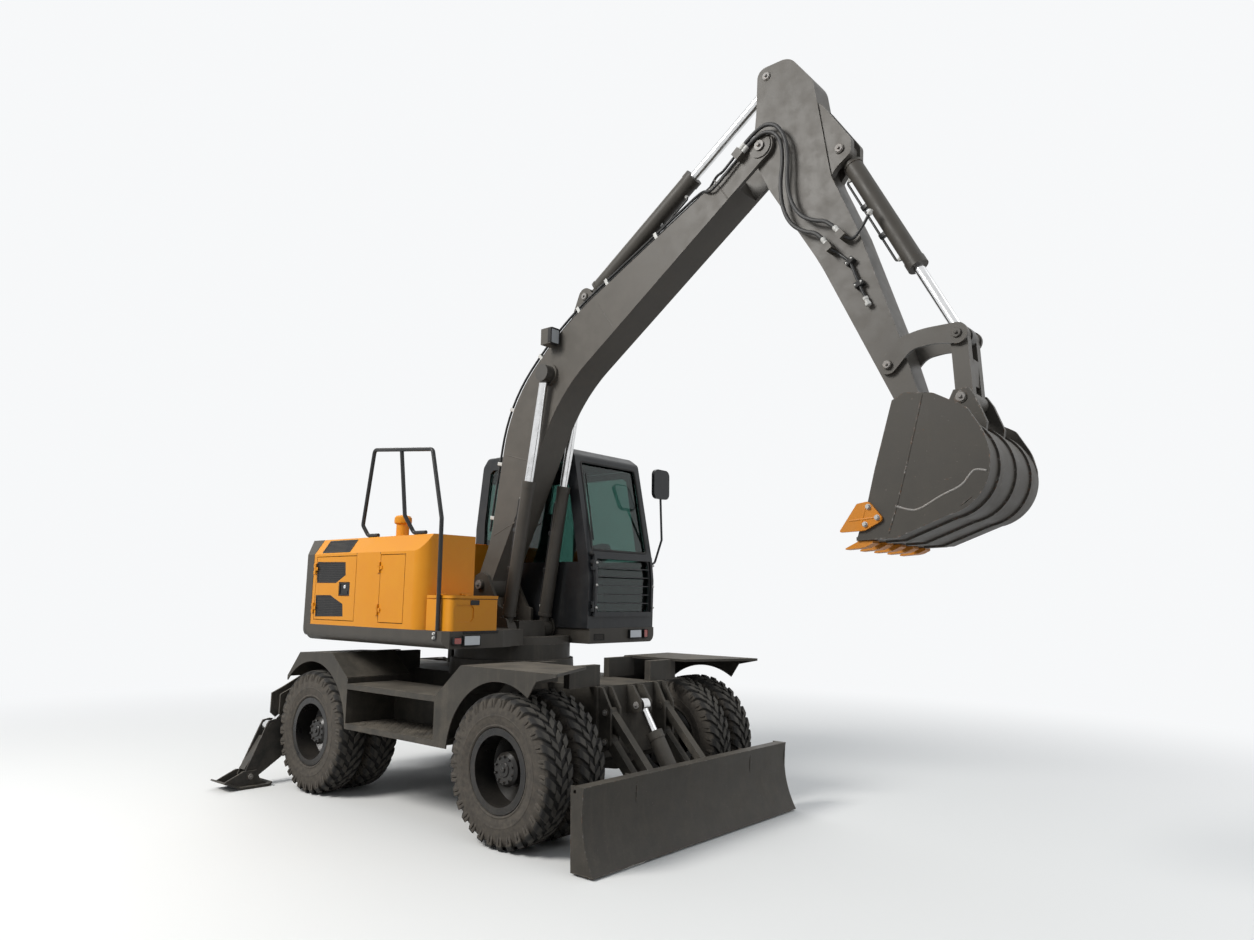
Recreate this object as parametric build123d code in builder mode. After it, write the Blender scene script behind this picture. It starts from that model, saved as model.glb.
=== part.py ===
from build123d import *
from math import acos, hypot, sqrt, tan
import os

os.makedirs("parts", exist_ok=True)

# Wheeled excavator, in millimetres. X points forward to the blade, Y to the left and Z up.
# The origin is on the ground under the slew axis, and the arm stands as it is carried on show:
# boom raised, stick hanging and bucket curled. A pair such as (x, z) is a place seen from the side.

# Undercarriage
WHEELBASE = 2490
OVERALL_WIDTH = 2490
TYRE_RADIUS = 525
TYRE_WIDTH = 262
TWIN_GAP = 60
RIM_RADIUS = 289
RIM_SEAT_RADIUS = 254
RIM_WALL = 14
HUB_RADIUS = 118
HUB_END_Y = 1165
SPINDLE_RADIUS = 55
SPINDLE_START_Y = 700
SPINDLE_LENGTH = 110
KINGPIN_Y = 640
KINGPIN_RADIUS = 32
YOKE_HEIGHT = 165
AXLE_TUBE_RADIUS = 92
DIFFERENTIAL_RADIUS = 148
FRAME_HALF_WIDTH = 370
FRAME_BOTTOM = 640
FRAME_TOP = 1050
FRAME_REAR = -1400
FRAME_FRONT = 1400
FRONT_PLATE_HALF_WIDTH = 420
FRONT_PLATE_THICKNESS = 30
FRONT_PLATE_BOTTOM = 524
SLEW_TOWER_RADIUS = 560
SLEW_RING_RADIUS = 520
SLEW_RING_BOTTOM = 1190
PLATFORM_BOTTOM = 1320

# Fenders and steps
FENDER_OUTER_Y = 1245
FENDER_INNER_Y = 610
FENDER_SHEET = 10
FENDER_TOP = 1220
ARCH_RADIUS = 565
ARCH_CENTRE_Z = 565
STEP_TOP = 978
STEP_INSET = 160
FENDER_HEEL = 1028
FENDER_REAR = -1672
FENDER_FRONT = 1817
STEP_BOTTOM = 608
STEP_SHELF = 45
STEP_REAR = -680
STEP_FRONT = 524
STEP_LIP = 44
STEP_CARRIER_Z = (760, 880)
FENDER_BRACKET_Y = 1010

# Blade
BLADE_HALF_WIDTH = 1246
BLADE_TOP = 539
BLADE_BOTTOM = 14
BLADE_BACK = 1972
BLADE_FLANGE_BACK = 2002
BLADE_ARM_PIN = (1500, 655)
BLADE_ARM_END = (1900, 235)
BLADE_LINK_PIN = (1500, 870)
BLADE_ARM_Y = 330
BLADE_ARM_WIDTH = 70
BLADE_CYLINDER_TOP = (1530, 900)
BLADE_CYLINDER_BASE = (1890, 330)

# Stabilisers, as (y, z) places of the left one
LEG_X = -1880
LEG_HALF_WIDTH = 65
LEG_PLATE = 16
LEG_PIN = (890, 445)
LEG_ROD_PIN = (1280, 515)
LEG_END = (1465, 100)
LEG_CYLINDER_PIN = (660, 1000)
CARRIER_GAP = 8
CARRIER_PLATE = 16

# Upper structure
PLATFORM_TOP = 1455
PLATFORM_REAR = -1440
PLATFORM_HALF_WIDTH = 1220
PLATFORM_SKIN = 22
SKIRT_ROUND = 70
SEAT_TOP_AT_CYLINDERS = 1385
HOOD_CREASE = 2080
HOOD_TOP = 2220
HOOD_REAR = -1380
HOOD_FRONT = 270
HOOD_INSET = 95
HOOD_INNER_EDGE = -700
COUNTERWEIGHT_REAR = -1720
TOOL_BOX_FRONT = 590
TOOL_BOX_TOP = 1729
TOOL_BOX_RIGHT = -1170
TOOL_LID = 30
BOX_WALL = 20
PANEL_GAP = 6
DOOR_SKIN = 25

# Cab
CAB_INNER_Y = 290
CAB_OUTER_Y = 1215
CAB_FLOOR = 1455.3
CAB_ROOF = 3125
CAB_WALL = 45
CAB_REAR = -930
CAB_MIDDLE_Y = (CAB_INNER_Y + CAB_OUTER_Y) / 2
FRONT_GLASS_HALF_WIDTH = (CAB_OUTER_Y - CAB_INNER_Y) / 2 - 70

# Arm
BOOM_FOOT = (-250, 1832)
BOOM_HALF_WIDTH = 150
BOOM_FORK_INNER = 118
STICK_PIN = (2745, 5120)
STICK_HALF_WIDTH = 112
BOOM_CYLINDER_BASE = (160, 1440)
BOOM_CYLINDER_TOP = (549, 3695)
BOOM_CYLINDER_Y = 220
ARM_CYLINDER_BASE = (880, 4375)
ARM_CYLINDER_TOP = (2783, 5697)
BUCKET_CYLINDER_BASE = (3365, 4905)
ROD_PIN = (4140, 3390)
ROCKER_PIN = (3690, 3258)
BUCKET_PIN = (3870, 2885)
BUCKET_LINK_PIN = (4164, 2970)
BUCKET_HALF_WIDTH = 470
BUCKET_WALL = 22
PIN_RADIUS = 36
EYE_CLEARANCE = 6
SLIDING_FIT = 0.5
SEAT_GAP = 0.3
HOSE_RADIUS = 15
KNUCKLE_RADIUS = 7.5
KNUCKLE_LENGTH = 30
HINGE_LEAF = 34
HINGE_STAND_OFF = 8
HINGE_OFFSET = 3

AXLE_X = WHEELBASE / 2
OUTER_TYRE_Y = OVERALL_WIDTH / 2 - TYRE_WIDTH / 2
INNER_TYRE_Y = OUTER_TYRE_Y - TYRE_WIDTH - TWIN_GAP
TWIN_MIDDLE_Y = (OUTER_TYRE_Y + INNER_TYRE_Y) / 2


def save(piece, name):
    """Labels a finished piece and writes its STEP file."""
    piece.label = name
    export_step(piece, f"parts/{name}.step")


def block(x, y, z, mode=Mode.ADD):
    """Adds a block between two X, two Y and two Z stations to the piece in hand."""
    with Locations(((x[0] + x[1]) / 2, (y[0] + y[1]) / 2, (z[0] + z[1]) / 2)):
        Box(x[1] - x[0], y[1] - y[0], z[1] - z[0], mode=mode)


def side_plate(outline, y, mode=Mode.ADD):
    """Adds a plate with this X-Z outline between two Y stations."""
    with BuildSketch(Plane.XZ.offset(-y[1])) as profile:
        with BuildLine():
            Polyline(*outline, close=True)
        make_face()
    extrude(profile.sketch, amount=y[1] - y[0], mode=mode)


def side_form(outline, y, mode=Mode.ADD):
    """Adds a plate between two Y stations whose corners are given as (x, z, corner radius)."""
    with BuildSketch(Plane.XZ.offset(-y[1])) as profile:
        with BuildLine():
            FilletPolyline(*[(x, z) for x, z, _ in outline], radius=[r for _, _, r in outline], close=True)
        make_face()
    extrude(profile.sketch, amount=y[1] - y[0], mode=mode)


def flat_form(outline, z, mode=Mode.ADD):
    """Adds a plate between two heights whose corners are given as (x, y, corner radius)."""
    with BuildSketch(Plane.XY.offset(z[0])) as profile:
        with BuildLine():
            FilletPolyline(*[(x, y) for x, y, _ in outline], radius=[r for _, _, r in outline], close=True)
        make_face()
    extrude(profile.sketch, amount=z[1] - z[0], mode=mode)


def cross_plate(outline, x, mode=Mode.ADD):
    """Adds a plate with this Y-Z outline between two X stations."""
    with BuildSketch(Plane.YZ.offset(x[0])) as profile:
        with BuildLine():
            Polyline(*outline, close=True)
        make_face()
    extrude(profile.sketch, amount=x[1] - x[0], mode=mode)


def flat_plate(outline, z, mode=Mode.ADD):
    """Adds a plate with this X-Y outline between two heights."""
    with BuildSketch(Plane.XY.offset(z[0])) as profile:
        with BuildLine():
            Polyline(*outline, close=True)
        make_face()
    extrude(profile.sketch, amount=z[1] - z[0], mode=mode)


def cross_pin(centre, radius, y, mode=Mode.ADD):
    """Adds a round pin, or cuts its bore, along Y between two Y stations."""
    with BuildSketch(Plane.XZ.offset(-y[1])) as profile:
        with Locations(centre):
            Circle(radius)
    extrude(profile.sketch, amount=y[1] - y[0], mode=mode)


def long_pin(centre, radius, x, mode=Mode.ADD):
    """Adds a round pin, or cuts its bore, along X between two X stations at a (y, z) centre."""
    with BuildSketch(Plane.YZ.offset(x[0])) as profile:
        with Locations(centre):
            Circle(radius)
    extrude(profile.sketch, amount=x[1] - x[0], mode=mode)


def knuckle_spans(middle, moving):
    """Gives the spans of a hinge's knuckles along its axis: one that moves, or the two that stay."""
    half = KNUCKLE_LENGTH / 2
    if moving:
        return [(middle - half, middle + half)]
    near, far = half + SEAT_GAP, half + SEAT_GAP + KNUCKLE_LENGTH
    return [(middle - far, middle - near), (middle + near, middle + far)]


def upright_hinge(x, y_face, heights, moving):
    """Adds the knuckles and leaves of the upright hinges at a panel edge, on a side face at y_face."""
    outward = 1 if y_face > 0 else -1
    y = y_face + outward * HINGE_STAND_OFF
    for middle in heights:
        for span in knuckle_spans(middle, moving):
            with BuildSketch(Plane.XY.offset(span[0])) as knuckle_section:
                with Locations((x, y)):
                    Circle(KNUCKLE_RADIUS)
            extrude(knuckle_section.sketch, amount=span[1] - span[0])
            if moving:
                block((x, x + HINGE_LEAF), sorted((y_face + outward, y)), span)
                block((x + HINGE_OFFSET + PANEL_GAP, x + HINGE_LEAF), sorted((y_face - outward, y)), span)
            else:
                block((x - HINGE_LEAF, x), sorted((y_face - outward, y)), span)


def lid_hinge(x, z_face, places, moving, leaf=HINGE_LEAF):
    """Adds the knuckles and leaves of the hinges at a lid's rear edge, on a top face at z_face."""
    z = z_face + HINGE_STAND_OFF
    for middle in places:
        for span in knuckle_spans(middle, moving):
            cross_pin((x, z), KNUCKLE_RADIUS, span)
            if moving:
                block((x, x + leaf), span, (z_face + 1, z))
                block((x + HINGE_OFFSET + PANEL_GAP, x + leaf), span, (z_face - 1, z))
            else:
                block((x - leaf, x), span, (z_face + (1 if leaf < HINGE_LEAF else -1), z))


def both_sides(y_inner, y_outer):
    """Gives the two Y ranges of a pair of like plates, the right one first."""
    return ((-y_outer, -y_inner), (y_inner, y_outer))


def aim(start, end, across, across_axis="Y"):
    """Gives the plane at a start point whose normal points at the end point, and their distance."""
    run, rise = end[0] - start[0], end[1] - start[1]
    if across_axis == "Y":
        plane = Plane(origin=(start[0], across, start[1]), x_dir=(0, 1, 0), z_dir=(run, 0, rise))
    else:
        plane = Plane(origin=(across, start[0], start[1]), x_dir=(1, 0, 0), z_dir=(0, run, rise))
    return plane, hypot(run, rise)


def rod_along(plane, radius, start, end, mode=Mode.ADD):
    """Adds a round bar on a plane's normal, between two distances from the plane."""
    with BuildSketch(plane.offset(start)) as profile:
        Circle(radius)
    extrude(profile.sketch, amount=end - start, mode=mode)


# One ram for each line: base pin, rod pin, lateral places, axis its pins lie along, barrel length,
# barrel radius, rod radius, rod length, base eye and rod eye as (radius, half width)
RAMS = {
    "boom_cylinder": dict(
        base=BOOM_CYLINDER_BASE, top=BOOM_CYLINDER_TOP, across=(-BOOM_CYLINDER_Y, BOOM_CYLINDER_Y),
        axis="Y", barrel=1316, bore=58, rod=38, rod_length=1470, base_eye=(80, 44), rod_eye=(76, 45),
    ),
    "arm_cylinder": dict(
        base=ARM_CYLINDER_BASE, top=ARM_CYLINDER_TOP, across=(0,), axis="Y", barrel=1389,
        bore=74, rod=42, rod_length=1440, base_eye=(78, 42), rod_eye=(75, 40),
    ),
    "bucket_cylinder": dict(
        base=BUCKET_CYLINDER_BASE, top=ROD_PIN, across=(0,), axis="Y", barrel=1095,
        bore=66, rod=36, rod_length=1060, base_eye=(70, 42), rod_eye=(66, 38),
    ),
    "blade_cylinder": dict(
        base=BLADE_CYLINDER_BASE, top=BLADE_CYLINDER_TOP, across=(0,), axis="Y", barrel=440,
        bore=62, rod=32, rod_length=410, base_eye=(58, 40), rod_eye=(55, 38),
    ),
    "stabiliser_cylinder_right": dict(
        base=(-LEG_CYLINDER_PIN[0], LEG_CYLINDER_PIN[1]), top=(-LEG_ROD_PIN[0], LEG_ROD_PIN[1]),
        across=(LEG_X,), axis="X", barrel=465, bore=38, rod=24, rod_length=420,
        base_eye=(50, 34), rod_eye=(48, 34),
    ),
    "stabiliser_cylinder_left": dict(
        base=LEG_CYLINDER_PIN, top=LEG_ROD_PIN,
        across=(LEG_X,), axis="X", barrel=465, bore=38, rod=24, rod_length=420,
        base_eye=(50, 34), rod_eye=(48, 34),
    ),
}
PIN_CLEARANCE = 1
NECK = 40
GLAND_STEP = 5
GLAND_LENGTH = 60
COLLAR_LENGTH = 25


def eye(across_axis, centre, across, radius, half_width, pin_radius):
    """Adds an eye round a pin that lies along Y or X, bored where the pin is another piece."""
    stations = (across - half_width, across + half_width)
    bar = cross_pin if across_axis == "Y" else long_pin
    bar(centre, radius, stations)
    if pin_radius:
        bar(centre, pin_radius, stations, Mode.SUBTRACT)


for name, ram in RAMS.items():
    with BuildPart() as barrel:
        for across in ram["across"]:
            plane, length = aim(ram["base"], ram["top"], across, ram["axis"])
            radius, half_width = ram["base_eye"]
            rod_along(plane, half_width - SLIDING_FIT, radius * 0.7, radius + NECK + 1)
            collar = ram["bore"] + GLAND_STEP
            rod_along(plane, collar, radius + NECK, radius + NECK + COLLAR_LENGTH)
            rod_along(plane, ram["bore"], radius + NECK + COLLAR_LENGTH, ram["barrel"] - GLAND_LENGTH)
            rod_along(plane, collar, ram["barrel"] - GLAND_LENGTH, ram["barrel"])
            eye(ram["axis"], ram["base"], across, radius, half_width, PIN_RADIUS + PIN_CLEARANCE)
            rod_along(plane, ram["rod"] + SLIDING_FIT, radius + NECK + 6, ram["barrel"] + 1, Mode.SUBTRACT)
    save(barrel.part, f"{name}_barrel")
    with BuildPart() as rod:
        for across in ram["across"]:
            plane, length = aim(ram["base"], ram["top"], across, ram["axis"])
            radius, half_width = ram["rod_eye"]
            rod_along(plane, ram["rod"], length - ram["rod_length"], length - radius * 0.6)
            eye(ram["axis"], ram["top"], across, radius, half_width, None)
    save(rod.part, f"{name}_rod")


# Chassis: a welded box frame with the slew tower, the front plate that carries the blade and the
# rear carrier whose two cross plates hold the stabiliser legs between them
CARRIER_REACH = 1235
with BuildPart() as chassis_frame:
    frame_profile = [
        (FRAME_REAR, FRAME_BOTTOM + 120), (FRAME_REAR, FRAME_TOP), (FRAME_FRONT, FRAME_TOP),
        (FRAME_FRONT, FRAME_BOTTOM + 100), (AXLE_X - 210, FRAME_BOTTOM + 100), (AXLE_X - 330, FRAME_BOTTOM),
        (-AXLE_X + 300, FRAME_BOTTOM), (-AXLE_X + 120, FRAME_BOTTOM + 120),
    ]
    side_plate(frame_profile, (-FRAME_HALF_WIDTH, FRAME_HALF_WIDTH))
    with BuildSketch(Plane.XY.offset(FRAME_TOP)) as tower_profile:
        Circle(SLEW_TOWER_RADIUS)
    extrude(tower_profile.sketch, amount=SLEW_RING_BOTTOM - FRAME_TOP, taper=4)
    block(
        (FRAME_FRONT, FRAME_FRONT + FRONT_PLATE_THICKNESS),
        (-FRONT_PLATE_HALF_WIDTH, FRONT_PLATE_HALF_WIDTH),
        (FRONT_PLATE_BOTTOM, FRAME_TOP + 4),
    )
    carrier_inner = LEG_HALF_WIDTH + CARRIER_GAP
    carrier_outer = carrier_inner + CARRIER_PLATE
    for side in (-1, 1):
        carrier = [
            (0, FRAME_TOP), (side * 760, FRAME_TOP), (side * 1130, 850), (side * CARRIER_REACH, 800),
            (side * CARRIER_REACH, 620), (side * (LEG_PIN[0] + 60), LEG_PIN[1] - 70),
            (side * (LEG_PIN[0] - 60), LEG_PIN[1] - 70), (side * 420, 560), (0, 560),
        ]
        cross_plate(carrier, (LEG_X - carrier_outer, LEG_X - carrier_inner))
        cross_plate(carrier, (LEG_X + carrier_inner, LEG_X + carrier_outer))
        for centre in (LEG_PIN, LEG_CYLINDER_PIN):
            stations = (LEG_X - carrier_outer - 12, LEG_X + carrier_outer + 12)
            long_pin((side * centre[0], centre[1]), PIN_RADIUS, stations)
    block((LEG_X - carrier_outer, LEG_X + carrier_outer), (-FRAME_HALF_WIDTH, FRAME_HALF_WIDTH),
        (580, FRAME_TOP))
    block((LEG_X, FRAME_REAR), (-FRAME_HALF_WIDTH, FRAME_HALF_WIDTH), (FRAME_BOTTOM + 120, FRAME_TOP))
    for side in (-1, 1):
        for y in both_sides(BLADE_ARM_WIDTH / 2 + EYE_CLEARANCE, BLADE_ARM_WIDTH / 2 + EYE_CLEARANCE + 22):
            lug = [
                (FRAME_FRONT, FRAME_TOP), (FRAME_FRONT + 60, FRAME_TOP), (BLADE_LINK_PIN[0] + 48, 900),
                (BLADE_ARM_PIN[0] + 48, BLADE_ARM_PIN[1] - 20),
                (BLADE_ARM_PIN[0] + 10, BLADE_ARM_PIN[1] - 50),
                (FRAME_FRONT, BLADE_ARM_PIN[1] - 90),
            ]
            stations = (y[0] + side * BLADE_ARM_Y, y[1] + side * BLADE_ARM_Y)
            side_plate(lug, stations)
        outer = BLADE_ARM_WIDTH / 2 + EYE_CLEARANCE + 34
        for centre in (BLADE_ARM_PIN, BLADE_LINK_PIN):
            cross_pin(centre, 28, (side * BLADE_ARM_Y - outer, side * BLADE_ARM_Y + outer))
    for y in both_sides(48, 72):
        bracket = [
            (FRAME_FRONT, BLADE_CYLINDER_TOP[1] - 75), (FRAME_FRONT, FRAME_TOP),
            (FRAME_FRONT + 90, FRAME_TOP),
            (BLADE_CYLINDER_TOP[0] + 45, BLADE_CYLINDER_TOP[1] + 30),
            (BLADE_CYLINDER_TOP[0] + 40, BLADE_CYLINDER_TOP[1] - 45),
        ]
        side_plate(bracket, y)
    with BuildSketch(Plane.XY.offset(SLEW_RING_BOTTOM)) as ring_profile:
        Circle(SLEW_RING_RADIUS)
        Circle(SLEW_RING_RADIUS - 120, mode=Mode.SUBTRACT)
    extrude(ring_profile.sketch, amount=PLATFORM_BOTTOM - SLEW_RING_BOTTOM - SEAT_GAP)
save(chassis_frame.part, "chassis_frame")



# Fenders: one pressed and welded structure on each side, with an arch over each wheel pair and an
# open step box between them
def fender(side):
    """Builds the fender and step structure of one side, +1 for the left."""
    def at(y):
        return (min(side * y[0], side * y[1]), max(side * y[0], side * y[1]))

    full = at((FENDER_INNER_Y, FENDER_OUTER_Y))
    skirt = at((FENDER_OUTER_Y - FENDER_SHEET, FENDER_OUTER_Y))
    shelf_y = FENDER_INNER_Y + STEP_INSET
    shelf = at((shelf_y, FENDER_OUTER_Y))
    rear_edge = [(FENDER_REAR, 981), (-1475, FENDER_TOP - 20), (-936, FENDER_TOP), (STEP_REAR, FENDER_HEEL)]
    front_edge = [(STEP_FRONT, STEP_TOP - 8), (820, FENDER_TOP), (980, FENDER_TOP)]
    with BuildPart() as sheet:
        side_plate(rear_edge + [(STEP_REAR, STEP_BOTTOM), (-AXLE_X, STEP_BOTTOM), (FENDER_REAR, 945)], skirt)
        side_plate(
            front_edge + [(FENDER_FRONT, FENDER_TOP), (FENDER_FRONT, FENDER_TOP - 20),
                          (AXLE_X + 380, FENDER_TOP - 60), (AXLE_X, STEP_BOTTOM), (STEP_FRONT, STEP_BOTTOM)],
            skirt,
        )
        for axle in (-AXLE_X, AXLE_X):
            with BuildSketch(Plane.XZ.offset(-skirt[1] - 1)) as arch:
                with BuildLine():
                    left, right = axle - ARCH_RADIUS, axle + ARCH_RADIUS
                    Polyline((left, ARCH_CENTRE_Z), (left, 500), (right, 500), (right, ARCH_CENTRE_Z))
                    ThreePointArc((right, ARCH_CENTRE_Z), (axle, ARCH_CENTRE_Z + ARCH_RADIUS),
                        (left, ARCH_CENTRE_Z))
                make_face()
            extrude(arch.sketch, amount=FENDER_SHEET + 2, mode=Mode.SUBTRACT)
        for edge in (rear_edge, front_edge):
            with BuildSketch(Plane.XZ.offset(-full[1])) as strip:
                with BuildLine():
                    Polyline(*edge)
                    offset(amount=FENDER_SHEET, side=Side.RIGHT)
                make_face()
            extrude(strip.sketch, amount=full[1] - full[0])
        top = [
            (820, side * FENDER_INNER_Y), (1494, side * FENDER_INNER_Y),
            (FENDER_FRONT, side * FENDER_OUTER_Y),
            (820, side * FENDER_OUTER_Y),
        ]
        flat_plate(top, (FENDER_TOP - 20, FENDER_TOP))
        block((STEP_REAR, STEP_FRONT), shelf, (STEP_TOP - STEP_SHELF, STEP_TOP))
        lip = [
            (STEP_REAR, side * shelf_y), (STEP_FRONT, side * shelf_y), (STEP_FRONT, side * FENDER_BRACKET_Y),
            (STEP_FRONT + STEP_LIP, side * (FENDER_BRACKET_Y + STEP_LIP + 6)),
            (STEP_FRONT + STEP_LIP, side * FENDER_OUTER_Y), (STEP_REAR, side * FENDER_OUTER_Y),
        ]
        flat_plate(lip, (STEP_BOTTOM, STEP_BOTTOM + STEP_SHELF))
        block((STEP_REAR, STEP_REAR + FENDER_SHEET), full, (STEP_BOTTOM, FENDER_HEEL - FENDER_SHEET / 2))
        block((STEP_FRONT, STEP_FRONT + FENDER_SHEET), full, (STEP_BOTTOM, STEP_TOP - 8))
        block((STEP_REAR, STEP_FRONT + 1), at((shelf_y - FENDER_SHEET, shelf_y)), (STEP_BOTTOM, STEP_TOP))
        for x in (STEP_REAR, STEP_FRONT - 110):
            block((x, x + 110), at((FRAME_HALF_WIDTH + SEAT_GAP, shelf_y - 1)), STEP_CARRIER_Z)
        for x, top_z in ((-1330, FENDER_TOP - 18), (-1010, FENDER_TOP - 7), (840, FENDER_TOP - 8),
                (1300, FENDER_TOP - 8)):
            block((x, x + 60), at((FRAME_HALF_WIDTH - 60, FENDER_INNER_Y + 40)),
                (FRAME_TOP + SEAT_GAP, top_z))
    return sheet.part


with BuildPart() as fenders:
    add(fender(-1))
    add(fender(1))
save(fenders.part, "fenders")

# Axles: a beam with a round differential housing; the front one ends in yokes for the king pins
with BuildPart() as rear_axle:
    with BuildSketch(Plane(origin=(-AXLE_X, 0, TYRE_RADIUS), x_dir=(0, 1, 0), z_dir=(1, 0, 0))) as half:
        with BuildLine():
            Polyline(
                (0, 0), (0, DIFFERENTIAL_RADIUS), (110, DIFFERENTIAL_RADIUS - 20), (230, AXLE_TUBE_RADIUS),
                (SPINDLE_START_Y - 60, AXLE_TUBE_RADIUS), (SPINDLE_START_Y - 40, 130),
                (SPINDLE_START_Y, 130),
                (SPINDLE_START_Y, SPINDLE_RADIUS), (SPINDLE_START_Y + SPINDLE_LENGTH, SPINDLE_RADIUS),
                (SPINDLE_START_Y + SPINDLE_LENGTH, 0), close=True,
            )
        make_face()
    revolve(half.sketch, axis=Axis((-AXLE_X, 0, TYRE_RADIUS), (0, 1, 0)))
    mirror(about=Plane.XZ)
    for y in both_sides(250, 330):
        block((-AXLE_X - 90, -AXLE_X + 90), y, (TYRE_RADIUS, FRAME_BOTTOM + 120 - 0.3))

with BuildPart() as front_axle:
    with BuildSketch(Plane(origin=(AXLE_X, 0, TYRE_RADIUS), x_dir=(0, 1, 0), z_dir=(1, 0, 0))) as half:
        with BuildLine():
            Polyline(
                (0, 0), (0, DIFFERENTIAL_RADIUS), (110, DIFFERENTIAL_RADIUS - 20), (230, AXLE_TUBE_RADIUS),
                (KINGPIN_Y - 90, AXLE_TUBE_RADIUS - 10), (KINGPIN_Y - 90, 0), close=True,
            )
        make_face()
    revolve(half.sketch, axis=Axis((AXLE_X, 0, TYRE_RADIUS), (0, 1, 0)))
    mirror(about=Plane.XZ)
    block((AXLE_X - 80, AXLE_X + 80), (-120, 120), (TYRE_RADIUS + 100, FRAME_BOTTOM + 100 - 0.3))
    for side in (-1, 1):
        for z in (-1, 1):
            y = sorted((side * (KINGPIN_Y - 110), side * (KINGPIN_Y + 38)))
            level = sorted((TYRE_RADIUS + z * (YOKE_HEIGHT - 45), TYRE_RADIUS + z * YOKE_HEIGHT))
            block((AXLE_X - 42, AXLE_X + 42), y, level)
        y = sorted((side * (KINGPIN_Y - 112), side * (KINGPIN_Y - 82)))
        block((AXLE_X - 42, AXLE_X + 42), y, (TYRE_RADIUS - YOKE_HEIGHT, TYRE_RADIUS + YOKE_HEIGHT))
        with BuildSketch(Plane.XY.offset(TYRE_RADIUS - YOKE_HEIGHT - 5)) as king_pin:
            with Locations((AXLE_X, side * KINGPIN_Y)):
                Circle(KINGPIN_RADIUS + 1)
        extrude(king_pin.sketch, amount=2 * YOKE_HEIGHT + 10, mode=Mode.SUBTRACT)
# Drive line under the frame: transfer gearbox and the two propeller shafts
with BuildPart() as drive_line:
    block((-170, 170), (-150, 150), (440, FRAME_BOTTOM - SEAT_GAP))
    shaft_end = AXLE_X - DIFFERENTIAL_RADIUS - SEAT_GAP
    long_pin((0, TYRE_RADIUS), 40, (170, shaft_end))
    long_pin((0, TYRE_RADIUS), 40, (-shaft_end, -170))
with BuildPart() as axles:
    add(rear_axle.part)
    add(front_axle.part)
    add(drive_line.part)
save(axles.part, "axles")


def knuckle(side):
    """Builds the steered knuckle with its king pin and spindle, +1 for the left."""
    with BuildPart() as piece:
        with BuildSketch(Plane.XY.offset(TYRE_RADIUS - YOKE_HEIGHT + 4)) as king_pin:
            with Locations((AXLE_X, side * KINGPIN_Y)):
                Circle(KINGPIN_RADIUS)
        extrude(king_pin.sketch, amount=2 * YOKE_HEIGHT - 8)
        y = sorted((side * (KINGPIN_Y - 60), side * (KINGPIN_Y + 40)))
        block((AXLE_X - 45, AXLE_X + 45), y, (TYRE_RADIUS - 112, TYRE_RADIUS + 112))
        cross_pin((AXLE_X, TYRE_RADIUS), 120, sorted((side * (KINGPIN_Y + 30), side * SPINDLE_START_Y)))
        spindle_end = SPINDLE_START_Y + SPINDLE_LENGTH
        cross_pin((AXLE_X, TYRE_RADIUS), SPINDLE_RADIUS,
            sorted((side * SPINDLE_START_Y, side * spindle_end)))
    return piece.part


save(knuckle(-1), "knuckle_right")
save(knuckle(1), "knuckle_left")


# Twin wheels: two tyres and two dished rims that bolt back to back on one planetary hub
def tyre_pair(x, side):
    """Builds the two tyres of one corner."""
    half = TYRE_WIDTH / 2
    with BuildPart() as pair:
        for middle in (INNER_TYRE_Y, OUTER_TYRE_Y):
            with BuildSketch(Plane(origin=(x, side * middle, TYRE_RADIUS), x_dir=(0, 1, 0),
                    z_dir=(1, 0, 0))) as section:
                with BuildLine():
                    Polyline(
                        (-half * 0.78, RIM_SEAT_RADIUS + SLIDING_FIT), (-half * 0.78, RIM_RADIUS + 1),
                        (-half * 0.9, RIM_RADIUS + 6), (-half, 390), (-half, 430), (-half * 0.9, 500),
                        (-half * 0.76, TYRE_RADIUS - 4),
                        (-half * 0.3, TYRE_RADIUS), (half * 0.3, TYRE_RADIUS),
                        (half * 0.76, TYRE_RADIUS - 4), (half * 0.9, 500), (half, 430), (half, 390),
                        (half * 0.9, RIM_RADIUS + 6), (half * 0.78, RIM_RADIUS + 1),
                        (half * 0.78, RIM_SEAT_RADIUS + SLIDING_FIT), close=True,
                    )
                make_face()
            revolve(section.sketch, axis=Axis((x, 0, TYRE_RADIUS), (0, 1, 0)))
    return pair.part


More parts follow.
